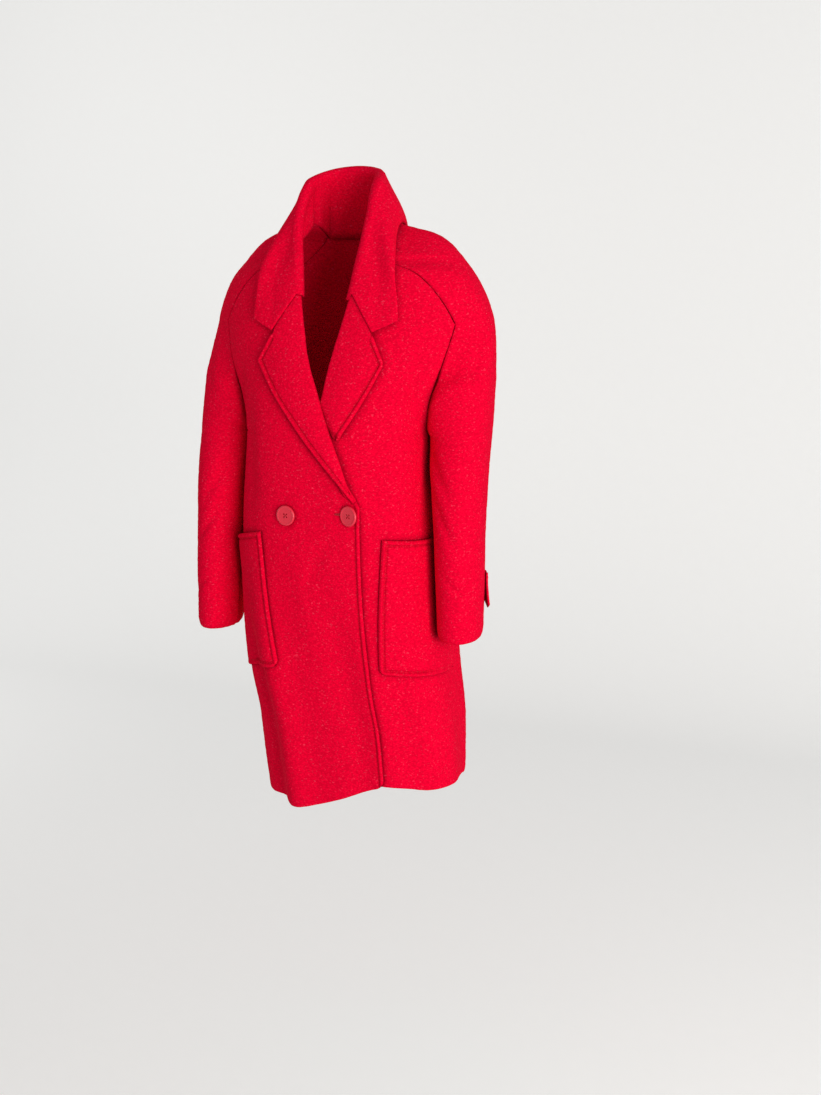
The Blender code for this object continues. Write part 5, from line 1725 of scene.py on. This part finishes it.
def studio_paper():
    """Seamless background paper over the wall and the floor: pale, matt, even and lit from behind."""
    finish = {"Emission Strength": 0.13, "Roughness": 0.9}
    material, tree, shader = new_material("studio_paper", finish)
    place = add_node(tree, "ShaderNodeTexCoord").outputs["Object"]
    grain = add_node(tree, "ShaderNodeTexNoise", {"Scale": 40.0, "Detail": 3.0}, {"Vector": place})
    tone = blend(tree, grain.outputs["Fac"], linear(PAPER[0]), linear(PAPER[1]))
    tree.links.new(tone, shader.inputs["Base Color"])
    tree.links.new(tone, shader.inputs["Emission Color"])
    return material


def material_named(name, make, settings):
    """Return the material of that name, made the first time it is asked for."""
    return bpy.data.materials.get(name) or make(settings)


def finishes(context):
    """Return the settings and the materials that the operators share."""
    cloth = context.scene.coat_cloth
    trim = context.scene.coat_trim
    wool = material_named("wool_boucle", wool_boucle, cloth)
    thread = material_named("spun_polyester_thread", spun_thread, trim)
    return cloth, trim, wool, thread


class COAT_OT_panels(bpy.types.Operator):
    """Make the two fronts and the back"""

    bl_idname = "coat.panels"
    bl_label = "Fronts and Back"

    def execute(self, context):
        cloth, trim, wool, thread = finishes(context)
        for side, sign in SIDES:
            name = "front_" + side
            front, stitching = add_front(name, sign, cloth, trim, wool, thread)
        add_back(cloth, wool)
        return {"FINISHED"}


class COAT_OT_sleeves(bpy.types.Operator):
    """Make the two sleeves with their saddles and cuff tabs"""

    bl_idname = "coat.sleeves"
    bl_label = "Sleeves"

    def execute(self, context):
        cloth, trim, wool, thread = finishes(context)
        for side, sign in SIDES:
            cuff = CUFFS[side]
            add_sleeve(side, sign, cuff, cloth, wool)
            name = "cuff_tab_" + side
            tab, stitching = add_cuff_tab(name, sign, cuff + TAB_RISE, cloth, trim, wool, thread)
        return {"FINISHED"}


class COAT_OT_collar(bpy.types.Operator):
    """Make the collar and the two lapels"""

    bl_idname = "coat.collar"
    bl_label = "Collar and Lapels"

    def execute(self, context):
        cloth, trim, wool, thread = finishes(context)
        collar, stitching = add_collar(cloth, trim, wool, thread)
        for side, sign in SIDES:
            name = "lapel_" + side
            lapel, stitching = add_lapel(name, sign, cloth, trim, wool, thread)
        return {"FINISHED"}


class COAT_OT_pockets(bpy.types.Operator):
    """Make the two patch pockets"""

    bl_idname = "coat.pockets"
    bl_label = "Pockets"

    def execute(self, context):
        cloth, trim, wool, thread = finishes(context)
        for side, sign in SIDES:
            pocket, stitching = add_pocket("pocket_" + side, sign, cloth, trim, wool, thread)
        return {"FINISHED"}


class COAT_OT_buttons(bpy.types.Operator):
    """Make the buttons, their thread and the buttonhole"""

    bl_idname = "coat.buttons"
    bl_label = "Buttons"

    def execute(self, context):
        _, trim, _, thread = finishes(context)
        plastic = material_named("cast_polyester", moulded_polyester, trim)
        for side, place in BUTTONS.items():
            add_button("button_" + side, place, trim, plastic, thread)
        add_buttonhole("buttonhole", *BUTTONS["left"][:2], thread)
        return {"FINISHED"}


def add_backdrop():
    """Add the floor and the wall behind it as one sheet with a rounded foot."""
    depth, wall, bend, half, near = BACKDROP
    line = [(near, FLOOR)]
    for angle in np.linspace(0.0, math.pi / 2.0, 24):
        line.append((depth - bend + bend * math.sin(angle), FLOOR + bend * (1.0 - math.cos(angle))))
    line.append((depth, FLOOR + wall))
    vertices = [(x, y, z) for y, z in line for x in (-half, half)]
    faces = [(2 * k, 2 * k + 1, 2 * k + 3, 2 * k + 2) for k in range(len(line) - 1)]
    backdrop = plain_object("backdrop", vertices, faces)
    backdrop.data.shade_smooth()
    backdrop.data.materials.append(studio_paper())
    backdrop.visible_diffuse = False  # the paper shows, and throws no light back onto the coat


def add_light(name, place, target, size, power, colour):
    """Add one soft square light that faces its target."""
    data = bpy.data.lights.new(name, "AREA")
    data.shape = "RECTANGLE"
    data.size, data.size_y = size
    data.energy = power
    data.color = linear(colour)[:3]
    light = bpy.data.objects.new(name, data)
    light.location = place
    light.rotation_euler = (Vector(target) - Vector(place)).to_track_quat("-Z", "Y").to_euler()
    bpy.context.scene.collection.objects.link(light)


def add_camera():
    """Add the camera where the photograph was taken, aimed so that the coat sits left of the middle."""
    data = bpy.data.cameras.new("camera")
    data.sensor_fit = "VERTICAL"
    data.angle = 2.0 * math.atan(IMAGE[1] / 2.0 / FOCAL_PIXELS)
    camera = bpy.data.objects.new("camera", data)
    azimuth = math.radians(CAMERA_AZIMUTH)
    tilt = math.radians(CAMERA_TILT)
    yaw = math.atan((IMAGE[0] / 2.0 - AXIS_COLUMN) / FOCAL_PIXELS * math.cos(tilt))
    across = CAMERA_DISTANCE * math.sin(azimuth)
    camera.location = (across, -CAMERA_DISTANCE * math.cos(azimuth), CAMERA_HEIGHT)
    camera.rotation_euler = (math.pi / 2.0 - tilt, 0.0, azimuth - yaw)
    bpy.context.scene.collection.objects.link(camera)
    bpy.context.scene.camera = camera


class COAT_OT_stage(bpy.types.Operator):
    """Make the backdrop, the lights and the camera"""

    bl_idname = "coat.stage"
    bl_label = "Stage"

    def execute(self, context):
        add_backdrop()
        for light in LIGHTS:
            add_light(*light)
        world = bpy.data.worlds.new("studio")
        world.use_nodes = True
        around = world.node_tree.nodes["Background"].inputs
        around["Color"].default_value = linear(PAPER[0])
        around["Strength"].default_value = AMBIENT
        context.scene.world = world
        context.scene.view_settings.view_transform = "Standard"
        add_camera()
        return {"FINISHED"}


class VIEW3D_PT_coat(bpy.types.Panel):
    """Sizes, colours and steps of the coat"""

    bl_label = "Coat"
    bl_space_type = "VIEW_3D"
    bl_region_type = "UI"
    bl_category = "Coat"

    def draw(self, context):
        for group in (context.scene.coat_cloth, context.scene.coat_trim):
            for name in group.__annotations__:
                self.layout.prop(group, name)
        for operator in OPERATORS:
            self.layout.operator(operator.bl_idname)


OPERATORS = (COAT_OT_panels, COAT_OT_sleeves, COAT_OT_collar, COAT_OT_pockets, COAT_OT_buttons, COAT_OT_stage)
CLASSES = (CoatCloth, CoatTrim) + OPERATORS + (VIEW3D_PT_coat,)


def register():
    """Register the classes and the settings."""
    for item in CLASSES:
        bpy.utils.register_class(item)
    bpy.types.Scene.coat_cloth = bpy.props.PointerProperty(type=CoatCloth)
    bpy.types.Scene.coat_trim = bpy.props.PointerProperty(type=CoatTrim)


def unregister():
    """Remove the settings and the classes."""
    del bpy.types.Scene.coat_trim
    del bpy.types.Scene.coat_cloth
    for item in reversed(CLASSES):
        bpy.utils.unregister_class(item)


def main():
    """Dress the coat."""
    register()
    for step in (
        bpy.ops.coat.panels,
        bpy.ops.coat.sleeves,
        bpy.ops.coat.collar,
        bpy.ops.coat.pockets,
        bpy.ops.coat.buttons,
        bpy.ops.coat.stage,
    ):
        step()


if __name__ == "__main__":
    main()
